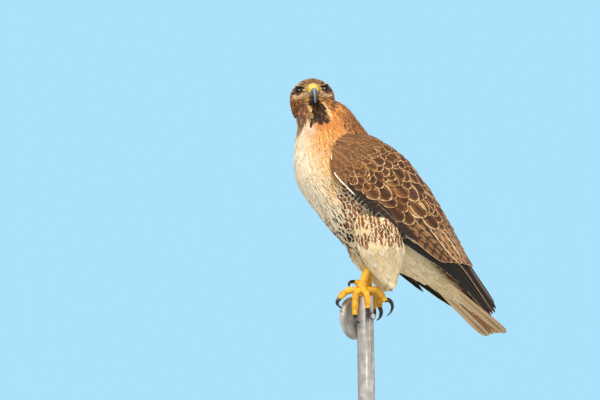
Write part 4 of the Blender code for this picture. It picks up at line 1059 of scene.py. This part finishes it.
def head_looks(points, local):
    forward, side, up = local[:, 0], np.abs(local[:, 1]), local[:, 2]
    chance = CHANCE.uniform(0, 1, len(points))
    slow = patchy(points, 7)
    crown = ease(up, 8, 14)
    cheek = mix(mix("9A5E34", "D39A5E", chance), "6A4026", ease(slow, 0.05, 0.35) * 0.8)
    nape = mix("A8652F", "DB974F", ease(slow + chance - 0.5, -0.3, 0.5))
    ground = mix(cheek, nape, ease(-forward, 2, 16))
    flecked = (chance > 0.62) * ease(side + 6 * slow, 3, 8)
    ground = mix(ground, mix(mix("6A4434", "96684C", chance), "D89A5C", flecked), crown)
    ground, throat = throat_tints(ground, forward, local[:, 1], up, chance)
    eye = np.stack([forward, side, up], 1) - EYES[0]
    eye_away = np.linalg.norm(eye, axis=1)
    lore = ease(forward, 15, 20) * ease(11 - np.abs(up - 2), 0, 5)
    ground = mix(ground, mix("CDB386", "94764E", chance > 0.6), lore * 0.85)
    low_lid = ease(-eye[:, 2], 1, 4) * ease(10.6 - eye_away, 0, 1.5)
    ground = mix(ground, "E2CBA2", low_lid * 0.8)
    # Dark round the eye: behind it a dark eye line, and in front of it and over it painted shade under the
    # brow
    front = ease(13.5 - eye_away, 0, 2) * ease(-eye[:, 1], 3, 7) * ease(eye[:, 2], -6, -1)
    over = ease(14.5 - eye_away, 0, 3) * ease(eye[:, 2], 3, 6)
    behind = ease(15 - eye_away, 0, 4) * ease(-eye[:, 0], 2, 6) * ease(5 - np.abs(eye[:, 2]), 0, 4)
    dark = np.clip(front + over + behind, 0, 1)
    ground = mix(ground, mix("150E0B", "2E211A", chance), dark * 0.95)
    line = ease(3.2 - np.abs(eye[:, 2] - 10.5), 0, 1.5) * ease(eye[:, 1], -5, 0)
    line = line * ease(20 - eye_away, 0, 4)
    ground = mix(ground, "EAD6B4", line * 0.9)
    plain = (1 - lore) * (1 - low_lid) * (1 - dark) * (1 - line)
    edge = mix(mix("D89A5C", "EBC48E", chance), ground, throat)
    streak = 0.42 * (1 - throat) * plain * (chance > 0.2)
    edge_width = 0.22 * plain * (chance > 0.4)
    return looks_of(ground, edge, mix("3E281A", "2A1A12", chance), edge_width, streak, vary=0.2)


head_middle = in_head(np.array([0.0, 0.0, -6.0]))
spots = staggered(head, (0.55, 8.7), (0, math.tau), lambda a: 2.2 + 0.12 * a, lambda a: 1.9 + 0.16 * a)
spots = spots[on_skin(head, spots, 2.6)]
local = head_local(spots[:, 0], spots[:, 1])
reach = 5.0 + 4.0 * ease(-local[:, 0], -22, 10) + 6.0 * ease(-local[:, 2], 12, 28)
tips = tips_of(head, spots, reach, CHANCE.uniform(-0.12, 0.12, len(spots)))
half = (0.8 + 0.13 * spots[:, 0]) * CHANCE.uniform(0.85, 1.15, len(spots))
high = CHANCE.uniform(1.1, 2.0, len(spots)) + 2.6 * ease(-local[:, 2], 14, 30)
laid = lay(head, head_middle, spots, tips, FACE_VANE, half, (0.1, high), BODY_OUTLINE, 0.25)
clear = np.ones(len(spots), bool)
for place, side in zip(EYES, (1, -1)):
    centre = np.array(HEAD_FRAME @ place)
    clear &= np.linalg.norm(laid - centre, axis=2).min(1) > EYE_RADIUS + 0.7
spots, laid, local = spots[clear], laid[clear], local[clear]
look = head_looks(laid[:, 0], local)
batches = [(laid, FACE_VANE, look, unwrapped(spots, (0, 9), (0, math.tau), (0, 0, 1, 0.9)))]


def brow_surface(side):
    """The ridge over an eye, from its front to its back."""

    def surface(a, b):
        c = np.cos(a)
        ball = np.stack([c, np.sin(a) * np.cos(b), np.sin(a) * np.sin(b)], -1) * BROW_SIZE
        turn = np.array(Matrix.Rotation(-side * BROW_TURN, 3, "Z") @ Matrix.Rotation(BROW_DIP, 3, "Y"))
        return in_head(ball @ turn.T + (BROW[0], side * BROW[1], BROW[2]))

    return surface


for side in (1, -1):
    brow = brow_surface(side)
    spots = staggered(brow, (0.35, 2.6), (0, math.tau), 1.6, 1.5)
    centre = in_head(np.array([BROW[0], side * BROW[1], BROW[2]]))
    tips = tips_of(brow, spots, 3.6)
    laid = lay(brow, centre, spots, tips, FACE_VANE, 0.8, (0.0, 0.7), BODY_OUTLINE, 0.2)
    # Painted shade: the brow's feathers are near black on the ridge's underside and pale brown on its top
    high = np.sin(spots[:, 1])
    ground = mix("2A1D16", "A87C54", ease(high, 0.1, 0.8))
    look = looks_of(ground, "D9B080", "2A1D16", 0.2 * (high > 0.3))
    cell = (0.0 if side > 0 else 0.5, 0.92, 0.48 if side > 0 else 0.98, 1.0)
    batches.append((laid, FACE_VANE, look, unwrapped(spots, (0, math.pi), (0, math.tau), cell)))
plant("head_feathers", batches, CONTOUR)


# Neck and trunk: rufous nape and sides, cream breast, a band of long black-brown streaks over the
# belly, rufous blotches on the flanks and a brown mantle. The feathers grow longer from the chin
# down to the belly, and lie in three coat pieces.
def blotch_share(points):
    """How far points lie on the blotched flank, behind the belly's streaks and above the plain thigh."""
    x, z = points[:, 0], points[:, 2] - FOOT_LEVEL
    wander = patchy(points, 16)
    behind = ease(x + 0.34 * z + 7 * wander, -18, -6)
    return behind * ease(z + 10 * wander, 60, 70) * ease(165 - z, 0, 15)


def trunk_looks(roots, points, seen):
    k, angle = roots.T
    from_front = np.abs((angle - 1.5 * math.pi + math.pi) % math.tau - math.pi)
    chance, slow = CHANCE.uniform(0, 1, len(roots)), patchy(points, 22)
    turn = np.array(HEAD_FRAME.inverted())
    forward, side, up = (points @ turn[:3, :3].T + turn[:3, 3]).T
    wobble = from_front + 0.22 * slow
    orange = mix("D07C30", "F0AC58", ease(chance + slow, 0.0, 1.0))
    cream = mix("F3E0BC", "FBF1DA", chance)
    side_share = ease(wobble, 0.2, 1.0)
    fade = ease(k, 3.0, 5.6)
    side_tint = mix(orange, mix("E6B974", "F1D296", chance), fade)
    ground = mix(cream, side_tint, side_share)
    belly = ease(k, 5.6, 6.8) * (1 - ease(k, 8.4, 9.2))
    ground = mix(ground, mix("DCC69C", "F2E4C6", chance), belly)
    ground = mix(ground, mix("E5CD9B", "F0DFB8", chance), ease(k, 8.2, 9.0))
    collar = ease(-k, -2.9, -1.8) * (1 - ease(from_front, 1.2, 1.8))
    ground = mix(ground, mix("9A5C30", "D0904E", chance), collar * 0.85)
    brown_nape = ease(from_front, 1.55, 1.9) * ease(-k, -4.6, -3.4)
    ground = mix(ground, mix("7A4A28", "D9964C", chance > 0.45), brown_nape * 0.75)
    ground, throat = throat_tints(ground, forward, side, up, chance)
    back = ease(from_front + 0.1 * slow, 1.45, 1.85) * ease(k + slow, 1.9, 3.0)
    ground = mix(ground, mix("5E3C26", "83522F", chance), back)
    blotched = blotch_share(seen) * (1 - back) * ease(from_front, 0.3, 0.5)
    ground = mix(ground, mix("EBD6AE", "FBF1DC", chance), blotched)
    streaked = ease(k, 4.0, 5.4) * (1 - ease(k, 8.3, 8.9)) * (1 - back)
    band = ease(k + 0.3 * slow, 5.6, 6.3) * (1 - ease(k, 8.0, 8.6)) * (1 - back)
    mark = mix(mix("8A5A38", "241812", ease(k, 4.3, 5.6)), mix("6A3C22", "99602F", chance), blotched)
    mark = mix(mark, "5A351C", ease(-k, -3.4, -2.4))
    streak = 0.14 * (k < 4.5) * (chance > 0.5) * side_share + 0.14 * streaked + 0.5 * band
    streak = np.where(chance > 0.3, streak, 0) * (1 - 0.6 * back) * (1 - throat)
    marked = (blotched > 0.5) & (patchy(points, 9) + 0.5 * chance > 0.0)
    streak = np.where(blotched > 0.5, 0.5 * marked, streak)
    edge = mix(mix("FBF1DC", "F3C184", side_share * (1 - fade)), "D08F55", back)
    edge = mix(edge, ground, throat * 0.8)
    return looks_of(ground, edge, mark, 0.16 + 0.12 * back - 0.1 * band, streak, 0.9 * marked)


# How long and how wide the feathers are, from the first section of the trunk to the last
VANE_SECTIONS = [0, 2, 4, 6, 8, 11]
VANE_LENGTHS = [12, 15, 20, 24, 28, 30]
VANE_HALF_WIDTHS = [2.6, 3.2, 4.2, 5.0, 5.4, 5.4]


def trunk_batch(a_span, b_span, along, across):
    spots = staggered(trunk, a_span, b_span, along, across)
    spots = spots[on_skin(trunk, spots, 2.0)]
    reach = np.interp(spots[:, 0], VANE_SECTIONS, VANE_LENGTHS) * CHANCE.uniform(0.85, 1.15, len(spots))
    tips = tips_of(trunk, spots, reach, CHANCE.uniform(-0.14, 0.14, len(spots)))
    tips[:, 0] = np.minimum(tips[:, 0], 11)
    half = np.interp(spots[:, 0], VANE_SECTIONS, VANE_HALF_WIDTHS) * CHANCE.uniform(0.85, 1.15, len(spots))
    middle = trunk(spots[:, :1], np.array([0, 0.5, 1, 1.5])[None] * math.pi).mean(1)[:, None, :]
    heights = (-0.3, CHANCE.uniform(0.9, 2.0, len(spots)))
    laid = lay(trunk, middle, spots, tips, BODY_VANE, half, heights, BODY_OUTLINE)
    seen = trunk(*(spots + 0.75 * (tips - spots)).T)
    look = trunk_looks(spots, laid[:, 0], seen)
    return laid, BODY_VANE, look, unwrapped(spots, a_span, b_span)


SIDE_TO_SIDE = (math.pi * 0.99, math.pi * 2.01)
OVER_THE_BACK = (0.0, math.pi)
for name, slot_name, spans, along, across in (
    ("breast", "breast", ((0.5, 5.4), SIDE_TO_SIDE), lambda k: 3.4 + 0.35 * k, lambda k: 3.0 + 0.42 * k),
    ("belly", "breast", ((5.3, 10.6), SIDE_TO_SIDE), 8.0, 4.6),
    (
        "nape_and_mantle", "rufous", ((0.5, 10.6), OVER_THE_BACK),
        lambda k: 3.6 + 0.4 * k, lambda k: 3.4 + 0.42 * k,
    ),
):
    batches = [trunk_batch(*spans, along, across)]
    plant(name + "_feathers", batches, CONTOUR)

# Thighs: long plain cream feathers that hang in a soft trouser over the top of the shank, with
# the flank's blotches running down on to them. The far thigh stands a little behind the near one.
batches = []
for i, surface in enumerate((thigh, mirrored(thigh_back))):
    spots = staggered(surface, (0.3, 6.3), (0, math.tau), lambda k: 7.0 - 0.4 * k, lambda k: 5.6 - 0.4 * k)
    spots = spots[on_skin(surface, spots, 2.4)]
    points = surface(spots[:, 0], spots[:, 1])
    middle = surface(spots[:, :1], np.linspace(0, math.tau, 9)[None, :8]).mean(1)[:, None, :]
    reach = np.interp(spots[:, 0], [0, 2.2, 3.4, 7], [20, 22, 26, 14])
    reach = reach * CHANCE.uniform(0.8, 1.15, len(spots))
    tips = tips_of(surface, spots, reach, CHANCE.uniform(-0.18, 0.18, len(spots)))
    tips[:, 0] = np.minimum(tips[:, 0], CHANCE.uniform(5.8, 7.1, len(spots)) - 0.5 * i)
    heights = (-0.3, CHANCE.uniform(1.2, 3.0, len(spots)))
    laid = lay(surface, middle, spots, tips, BODY_VANE, 5.8 - 0.5 * spots[:, 0], heights, SOFT_OUTLINE)
    chance = CHANCE.uniform(0, 1, len(spots))
    ground = mix(mix("E9CF98", "F6E8C8", chance), "D9B880", ease(patchy(points, 18), 0.1, 0.6) * 0.6)
    blotched = blotch_share(surface(*(spots + 0.75 * (tips - spots)).T) * (1, 1 - 2 * i, 1))
    mark = mix("C09C6C", mix("6A3C22", "99602F", chance), blotched)
    marked = (blotched > 0.5) & (patchy(points, 9) + 0.7 * chance > 0.0)
    streak = np.where(blotched > 0.5, 0.5 * marked, 0.08 * (chance > 0.85))
    look = looks_of(ground, "F8EED6", mark, 0.14, streak, 0.9 * marked)
    cell = (0.5 * i, 0, 0.5 * i + 0.49, 1)
    batches.append((laid, BODY_VANE, look, unwrapped(spots, (0, 7), (0, math.tau), cell)))
plant("thigh_feathers", batches, CONTOUR)

# Tail coverts: soft contour feathers round the tail's root, cream and long below it, brown with
# rufous edges above it
spots = staggered(tail_root, (-0.4, 2.9), (0, math.tau), 5.0, 4.6)
middle = tail_plane(TAIL_COVERT_STEP * spots[:, 0] + TAIL_COVERT_START, 0 * spots[:, 0], -2.0)[:, None, :]
reach = np.interp(spots[:, 0], [0, 3], [30, 22]) * CHANCE.uniform(0.85, 1.15, len(spots))
tips = tips_of(tail_root, spots, reach, CHANCE.uniform(-0.1, 0.1, len(spots)))
tips[:, 0] = np.minimum(tips[:, 0], 3.6)
heights = (-0.3, CHANCE.uniform(1.0, 2.4, len(spots)))
laid = lay(tail_root, middle, spots, tips, BODY_VANE, 4.6, heights, SOFT_OUTLINE)
chance = CHANCE.uniform(0, 1, len(spots))
above = ease(np.sin(spots[:, 1]), -0.1, 0.3)
ground = mix(mix("DCC08C", "EBD8AE", chance), mix("7A4A2C", "A8683C", chance), above)
edge = mix("F0E2C0", "D9A470", above)
look = looks_of(ground, edge, "5A3822", 0.12, 0.05 * above, 0.3 * above * (chance > 0.5))
batches = [(laid, BODY_VANE, look, unwrapped(spots, (-0.4, 3), (0, math.tau)))]
plant("tail_covert_feathers", batches, CONTOUR)

# The wings: coverts in tiers over the arm, then the barred secondaries, with the black primaries
# folded under them and crossing over the tail's root. All are stiff vanes on a shaft.
COVERT_VANE = vane_of(4, 6)
LONG_VANE = vane_of(6, 12)
COVERT_OUTLINE = ((0.0, 0.55), (0.35, 0.95), (0.62, 1.0), (0.85, 0.72), (0.95, 0.42), (1.0, 0.12))
LONG_OUTLINE = ((0.0, 0.55), (0.3, 0.85), (0.7, 1.0), (0.88, 0.85), (0.96, 0.6), (1.0, 0.15))
POINTED_OUTLINE = ((0.0, 0.6), (0.3, 0.9), (0.6, 1.0), (0.8, 0.92), (0.93, 0.62), (1.0, 0.10))
COVERTS = feather_finish("scalloped_covert_feathers", 0.65, 3.0, 30.0, blur=0.3)
FLIGHT = feather_finish("stiff_flight_feathers", 0.5, 8.0, 160.0, 0.06)
# Each tier has its span of s and of t, steps along and across, length, half width, height of tips
COVERT_TIERS = [
    ((-0.05, 1.3), (0.02, 2.98), 5.5, 7.5, 17, 5.4, 1.6),
    ((1.2, 2.05), (0.32, 2.98), 9.0, 11.5, 25, 9.0, 2.0),
    ((1.95, 3.35), (0.42, 2.98), 13.5, 15.5, 33, 11.2, 2.4),
    ((3.25, 4.15), (0.9, 2.98), 13.5, 14.0, 34, 10.2, 2.8),
    ((4.1, 5.0), (1.75, 2.98), 13.0, 11.5, 30, 8.4, 3.4),
]
# Each flight feather has t at its root and tip, s at its root and tip, its half width and height
PRIMARIES = [
    (0.04, 0.06, 3.0, 6.02, 6.5, -3.1), (0.14, 0.1, 3.1, 6.5, 7.5, -2.8), (0.3, 0.2, 3.3, 6.86, 8.5, -2.5),
    (0.46, 0.38, 3.5, 7.0, 9.2, -2.2), (0.62, 0.8, 3.7, 6.94, 9.6, -1.9), (0.8, 1.2, 3.9, 6.98, 9.6, -1.6),
    (0.96, 1.6, 4.0, 6.92, 9.4, -1.3), (1.15, 2.0, 4.1, 6.8, 9.2, -1.0),
]
SECONDARIES = [
    (0.38, 0.3, 3.2, 5.46, 7.2, -0.5), (0.58, 0.46, 3.2, 5.56, 7.8, -0.2), (0.8, 0.62, 3.2, 5.66, 8.2, 0.1),
    (1.02, 0.8, 3.2, 5.75, 8.4, 0.4), (1.24, 0.98, 3.3, 5.84, 8.6, 0.7), (1.46, 1.16, 3.3, 5.91, 8.8, 1.0),
    (1.68, 1.34, 3.4, 5.97, 9.0, 1.3), (1.92, 1.54, 3.4, 6.02, 9.6, 1.6), (2.18, 1.78, 3.5, 6.05, 10.0, 1.9),
    (2.44, 2.08, 3.6, 6.02, 10.4, 2.2), (2.7, 2.5, 3.7, 5.8, 10.4, 2.5),
]
# How far the primaries drop at their tips. The far wing hangs a little looser
DROOP = {"left": np.array([0, 3, 7, 8, 5, 3, 1, 0]), "right": np.array([16, 8, 3, 1, 0, 0, 0, 0])}
# Alula and primary coverts: dark narrow vanes with pale spots, along the low edge
EDGE_COVERTS = [
    (0.06, 0.04, 1.5, 2.7, 4.6, 0.9), (0.2, 0.15, 1.6, 3.0, 4.8, 1.2), (0.1, 0.06, 2.2, 3.4, 5.0, 0.7),
    (0.28, 0.22, 2.3, 3.7, 5.0, 1.0), (0.16, 0.1, 2.8, 4.1, 5.2, 0.4), (0.34, 0.28, 2.9, 4.3, 5.4, 1.1),
]
# The white rim where the wing's leading edge meets the breast: small narrow vanes
WHITE_RIM = [
    (0.3, 0.05, -0.05, 0.22, 0.7, 1.6), (0.05, 0.07, 0.85, 1.2, 0.9, 3.0),
    (0.07, 0.09, 1.12, 1.62, 1.1, 3.2), (0.09, 0.08, 1.5, 2.1, 1.1, 3.0),
]


def covert_looks(roots, points):
    s, t = roots.T
    count = len(roots)
    chance, other, slow = CHANCE.uniform(0, 1, count), CHANCE.uniform(0, 1, count), patchy(points, 26)
    lesser = 1 - ease(s + 0.15 * slow, 0.75, 1.45)
    upper = ease(t, 2.0, 2.5)
    ground = mix(mix("6A4026", "94643A", chance), mix("6C4628", "8E6238", chance), lesser)
    ground = mix(ground, "BE8A52", ease(slow, 0.1, 0.5) * 0.4 * (1 - lesser))
    ground = mix(ground, mix("4A3020", "6E4A2E", chance), upper * 0.8)
    edge = mix(mix("DDAA70", "F3D3A2", other), "A47A4A", lesser * 0.75)
    white = (t > 2.1) & (t < 2.6) & (other > 0.72) & (s > 1.5) & (s < 2.8)
    edge = np.where(white[:, None], mix("F0E0C8", "FBF3E4", chance), edge)
    mark = mix(mix("402819", "5C3C26", chance), "6E4F30", lesser * 0.9)
    edge_width = 0.08 + 0.08 * other * (1 - lesser) + 0.05 * lesser + 0.3 * white
    streak = (0.3 + 0.35 * other) * (1 - 0.6 * lesser)
    return looks_of(ground, edge, mark, edge_width, streak, vary=0.16)


def flight_batch(surface, feathers, outline, look, side, lean, cell, droop=0.0):
    rows = np.array(feathers, float)
    roots, tips = rows[:, [2, 0]], rows[:, [3, 1]]
    heights = (rows[:, 5] - 1.2, rows[:, 5])
    laid = lay(
        surface, WING_MIDDLE, roots, tips, LONG_VANE, rows[:, 4], heights, outline, 0.7, 0.05, lean * side
    )
    down = np.array([math.sin(BODY_PITCH), 0, math.cos(BODY_PITCH)])
    hang = np.broadcast_to(droop, len(rows))[:, None] * LONG_VANE["share"] ** 3
    laid = laid - hang[..., None] * down
    places = np.stack([(cell + np.arange(len(rows)) + 0.5) / 60, np.full(len(rows), 0.5)], 1)
    return laid, LONG_VANE, look, places


for side_name, surface, side in (("left", wing, 1), ("right", mirrored(wing), -1)):
    batches = []
    for s_span, t_span, along, across, length, half_width, high in COVERT_TIERS:
        spots = staggered(surface, s_span, t_span, along, across)
        size = CHANCE.uniform(0.82, 1.15, len(spots))
        tips = tips_of(surface, spots, length * size, CHANCE.uniform(-0.28, 0.28, len(spots)))
        tips[:, 1] = np.clip(tips[:, 1], 0.0, 3.0)
        heights = (-1.6, high + CHANCE.uniform(-0.5, 0.5, len(spots)))
        half = half_width * size
        laid = lay(surface, WING_MIDDLE, spots, tips, COVERT_VANE, half, heights, COVERT_OUTLINE, 0.45)
        laid[..., 1] = np.minimum(laid[..., 1] * side, -0.2) * side
        look = covert_looks(spots, laid[:, 0])
        batches.append((laid, COVERT_VANE, look, unwrapped(spots, (-0.1, 4.4), (0, 3))))
    plant("wing_coverts_" + side_name, batches, COVERTS)

    tint = mix("080606", "120D0C", CHANCE.uniform(0, 1, len(PRIMARIES)))
    edges = [0.0, 0.04, 0.0, 0.07, 0.0, 0.09, 0.0, 0.09]
    black = looks_of(tint, "C09A76", "0E0B0A", edges)
    chance = CHANCE.uniform(0, 1, len(SECONDARIES))
    tint, pale = mix("7A5438", "A87C4C", chance), mix("D9A468", "EED6B0", chance)
    barred = looks_of(tint, pale, "36251A", 0.09 + 0.06 * chance, 0.15, 0.85)
    tint = mix("1A1310", "33241B", [0.2, 0.6, 0.0, 1.0, 0.1, 0.9])
    edges, bars = [0.06, 0.0, 0.05, 0.05, 0.08, 0.0], [0.4, 0.03, 0.35, 0.05, 0.1, 0.0]
    dark = looks_of(tint, "DCCDB6", "C2B094", edges, 0.0, bars)
    tint = mix("F6EEDD", "FFFAF0", CHANCE.uniform(0, 1, len(WHITE_RIM)))
    white = looks_of(tint, "F6EEDD", "D8C8AC")
    batches = [
        flight_batch(surface, PRIMARIES, POINTED_OUTLINE, black, side, 0.03, 0, DROOP[side_name]),
        flight_batch(surface, SECONDARIES, LONG_OUTLINE, barred, side, 0.04, 8),
        flight_batch(surface, EDGE_COVERTS, LONG_OUTLINE, dark, side, 0.03, 19),
        flight_batch(surface, WHITE_RIM, LONG_OUTLINE, white, side, 0.0, 25),
    ]
    for batch in batches:
        batch[0][..., 1] = np.minimum(batch[0][..., 1] * side, -0.2) * side
    plant("flight_feathers_" + side_name, batches, FLIGHT, (0.015, 0.96))

# The tail: twelve broad feathers, folded to a narrow fan with the middle pair on top. They are
# brick red above with a thin dark band near the tip, and pale tan below, with darker shafts.
TAIL_SPACING = (2.5, 8, 13, 17.5, 22, 26)
TAIL_DROP = (0, 1.3, 2.9, 4.7, 6.8, 9.2)
TAIL_OUTLINE = ((0.0, 0.6), (0.35, 0.85), (0.8, 1.0), (0.93, 0.9), (0.98, 0.6), (1.0, 0.25))
TAIL_HALF_WIDTH = 15

# Tail keratin: brick red with one black band above, buff below, darkening towards the shaft
TAIL_VANE, tree, shader = finish_of(
    "brick_red_tail_feathers", 0.55, Sheen_Weight=0.1, Specular_IOR_Level=0.35
)
uv = add(tree, "SeparateXYZ", [add(tree, "UVMap", uv_map="vane")]).outputs
upper = add(tree, "Attribute", attribute_name="upper").outputs["Fac"]
place = add(tree, "TexCoord").outputs["Object"]
rough = add(tree, "TexNoise", {"Vector": place, "Scale": 260.0, "Detail": 3.0})
wander = add(tree, "Math", [rough, 0.03, -0.015], operation="MULTIPLY_ADD")
along = add(tree, "Math", [uv[1], wander])
across = add(tree, "Math", [uv[0], wander])
stops = [
    (0.0, "D9A070"), (0.3, "B8603A"), (0.89, "BE5F36"), (0.9, "2A1A14"), (0.93, "2A1A14"), (0.94, "C9764A"),
    (0.985, "EAD3B0"),
]
above = add(tree, "ValToRGB", [along], stops)
from_shaft = add(tree, "Math", [across, 2.0, -1.0], operation="MULTIPLY_ADD")
from_shaft = add(tree, "Math", [from_shaft], operation="ABSOLUTE")
stops = [
    (0.0, "6E5238"), (0.05, "8C6C4A"), (0.1, "BFA074"), (0.5, "CDB488"), (0.86, "D3B986"), (0.93, "D0894C"),
]
below = add(tree, "ValToRGB", [from_shaft], stops)
fine_across = add(tree, "Math", [uv[0], 11.0], operation="MULTIPLY")
grain = add(tree, "CombineXYZ", [fine_across, along])
grain = add(tree, "TexNoise", {"Vector": grain, "Scale": 2.0, "Detail": 2.0})
grain = add(tree, "MapRange", {"Value": grain, "From Min": 0.5, "From Max": 0.62})
late = add(tree, "MapRange", {"Value": along, "From Min": 0.62, "From Max": 0.9})
grain = add(tree, "Math", [grain, late], operation="MULTIPLY")
below = add(tree, "MixRGB", [grain, below, linear("7A583A")])
colour = add(tree, "MixRGB", [upper, below, above])
fine_along = add(tree, "Math", [uv[1], 90.0], operation="MULTIPLY")
slant = add(tree, "CombineXYZ", [fine_along, uv[0]])
barbs = add(tree, "TexNoise", {"Vector": slant, "Scale": 1.0, "Detail": 1.0})
bump = add(tree, "Bump", {"Height": barbs, "Strength": 0.15, "Distance": 0.0003})
feed(shader, {"Base Color": colour, "Normal": bump})

batches = []
for i, spacing in enumerate(TAIL_SPACING):
    for side in (1, -1):
        roots = np.array([[0.0, side * spacing * 0.65]])
        tips = np.array([[TAIL_LENGTH - 1.2 * i - CHANCE.uniform(0, 5), side * spacing]])
        drop = -TAIL_DROP[i] - 0.65 * (side < 0)
        laid = lay(
            tail_plane, tail_plane(60.0, 0.0, -300.0), roots, tips, LONG_VANE, TAIL_HALF_WIDTH,
            (drop * 0.5, drop), TAIL_OUTLINE, 0.35, 0.02,
        )
        look = looks_of(mix("C2A67A", "CDB48A", [0.5]), "C2A67A", "5E452E")
        batches.append((laid, LONG_VANE, look, np.array([[(2 * i + (side > 0) + 0.5) / 12, 0.5]])))
plant("tail_feathers", batches, TAIL_VANE, (0.078, 0.96))

# The skin's tints: each point takes the tint of the nearest feather's root, a little darker as painted shade,
# so that nothing shows between the vanes
roots = np.concatenate(planted["place"])
tints = np.concatenate(planted["ground"])
nearest = KDTree(len(roots))
for i, root in enumerate(roots):
    nearest.insert(Vector(root) * 0.001, i)
nearest.balance()
picked = np.array([tints[nearest.find(vert.co)[1]] for vert in skin.data.vertices])
skin.data.attributes.new("ground", "FLOAT_VECTOR", "POINT").data.foreach_set("vector", picked.ravel())

# The studio: a wide sheet of pale paper as a floor, with the photograph's low viewpoint from the
# hawk's left front, and daylight from three soft panels.
DISTANCE = 1.6
SIDE_SHIFT = 0.0989
DROP = 0.1430
SENSOR = 36
LENS = SENSOR * 1.63 / 0.93

floor = bmesh.new()
bmesh.ops.create_grid(floor, x_segments=1, y_segments=1, size=6000)
studio_floor, tree, shader = finish_of("pale_studio_paper", 0.9)
feed(shader, {"Base Color": linear("E9EEF1")})
paper = add_piece("floor", floor, studio_floor)
paper.parent = None
paper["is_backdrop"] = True

turn, tilt = math.radians(22), math.radians(13)
look_along = Vector((math.sin(turn) * math.cos(tilt), math.cos(turn) * math.cos(tilt), math.sin(tilt)))
to_right = Vector((math.cos(turn), -math.sin(turn), 0))
upwards = to_right.cross(look_along)
aim_point = Vector((0, 0, FOOT_LEVEL * 0.001))
spot = aim_point - (look_along * DISTANCE + to_right * SIDE_SHIFT - upwards * DROP)
lens = bpy.data.cameras.new("camera")
lens.sensor_width, lens.lens = SENSOR, LENS
lens.clip_start, lens.clip_end = 0.05, 40
camera = bpy.data.objects.new("camera", lens)
bpy.context.scene.collection.objects.link(camera)
facing = Matrix((to_right, upwards, -look_along)).transposed().to_4x4()
camera.matrix_world = Matrix.Translation(spot) @ facing
bpy.context.scene.camera = camera

world = bpy.data.worlds.new("studio")
world.use_nodes = True
tree = world.node_tree
backdrop = tree.nodes["Background"]
feed(backdrop, [linear("ACE2FC")])
soft_light = add(tree, "Background", [linear("EEF1F4"), 0.42])
seen = add(tree, "LightPath").outputs["Is Camera Ray"]
feed(tree.nodes["World Output"], {"Surface": add(tree, "MixShader", [seen, soft_light, backdrop])})
bpy.context.scene.world = world
# Each light has its place and width in metres and its power in watts, and faces the hawk's breast
LIGHTS = [
    ("key", Vector((-1.1, -1.5, 1.9)), 0.8, 60.0),
    ("fill", Vector((1.6, -1.2, 0.9)), 1.4, 10.0),
    ("back", Vector((0.5, 1.6, 1.8)), 1.0, 16.0),
]
BREAST = Vector((0, 0, 0.42))
for name, place, width, power in LIGHTS:
    lamp = bpy.data.lights.new(name, "AREA")
    lamp.size, lamp.energy = width, power
    lamp.color = linear("FFF2E0")[:3]
    lamp_object = bpy.data.objects.new(name, lamp)
    bpy.context.scene.collection.objects.link(lamp_object)
    lamp_object.matrix_world = aimed(place - BREAST, place)
bpy.context.scene.view_settings.view_transform = "Standard"

size = {"cad": [list(corner) for corner in cad_box], "visual": [list(corner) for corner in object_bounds()]}
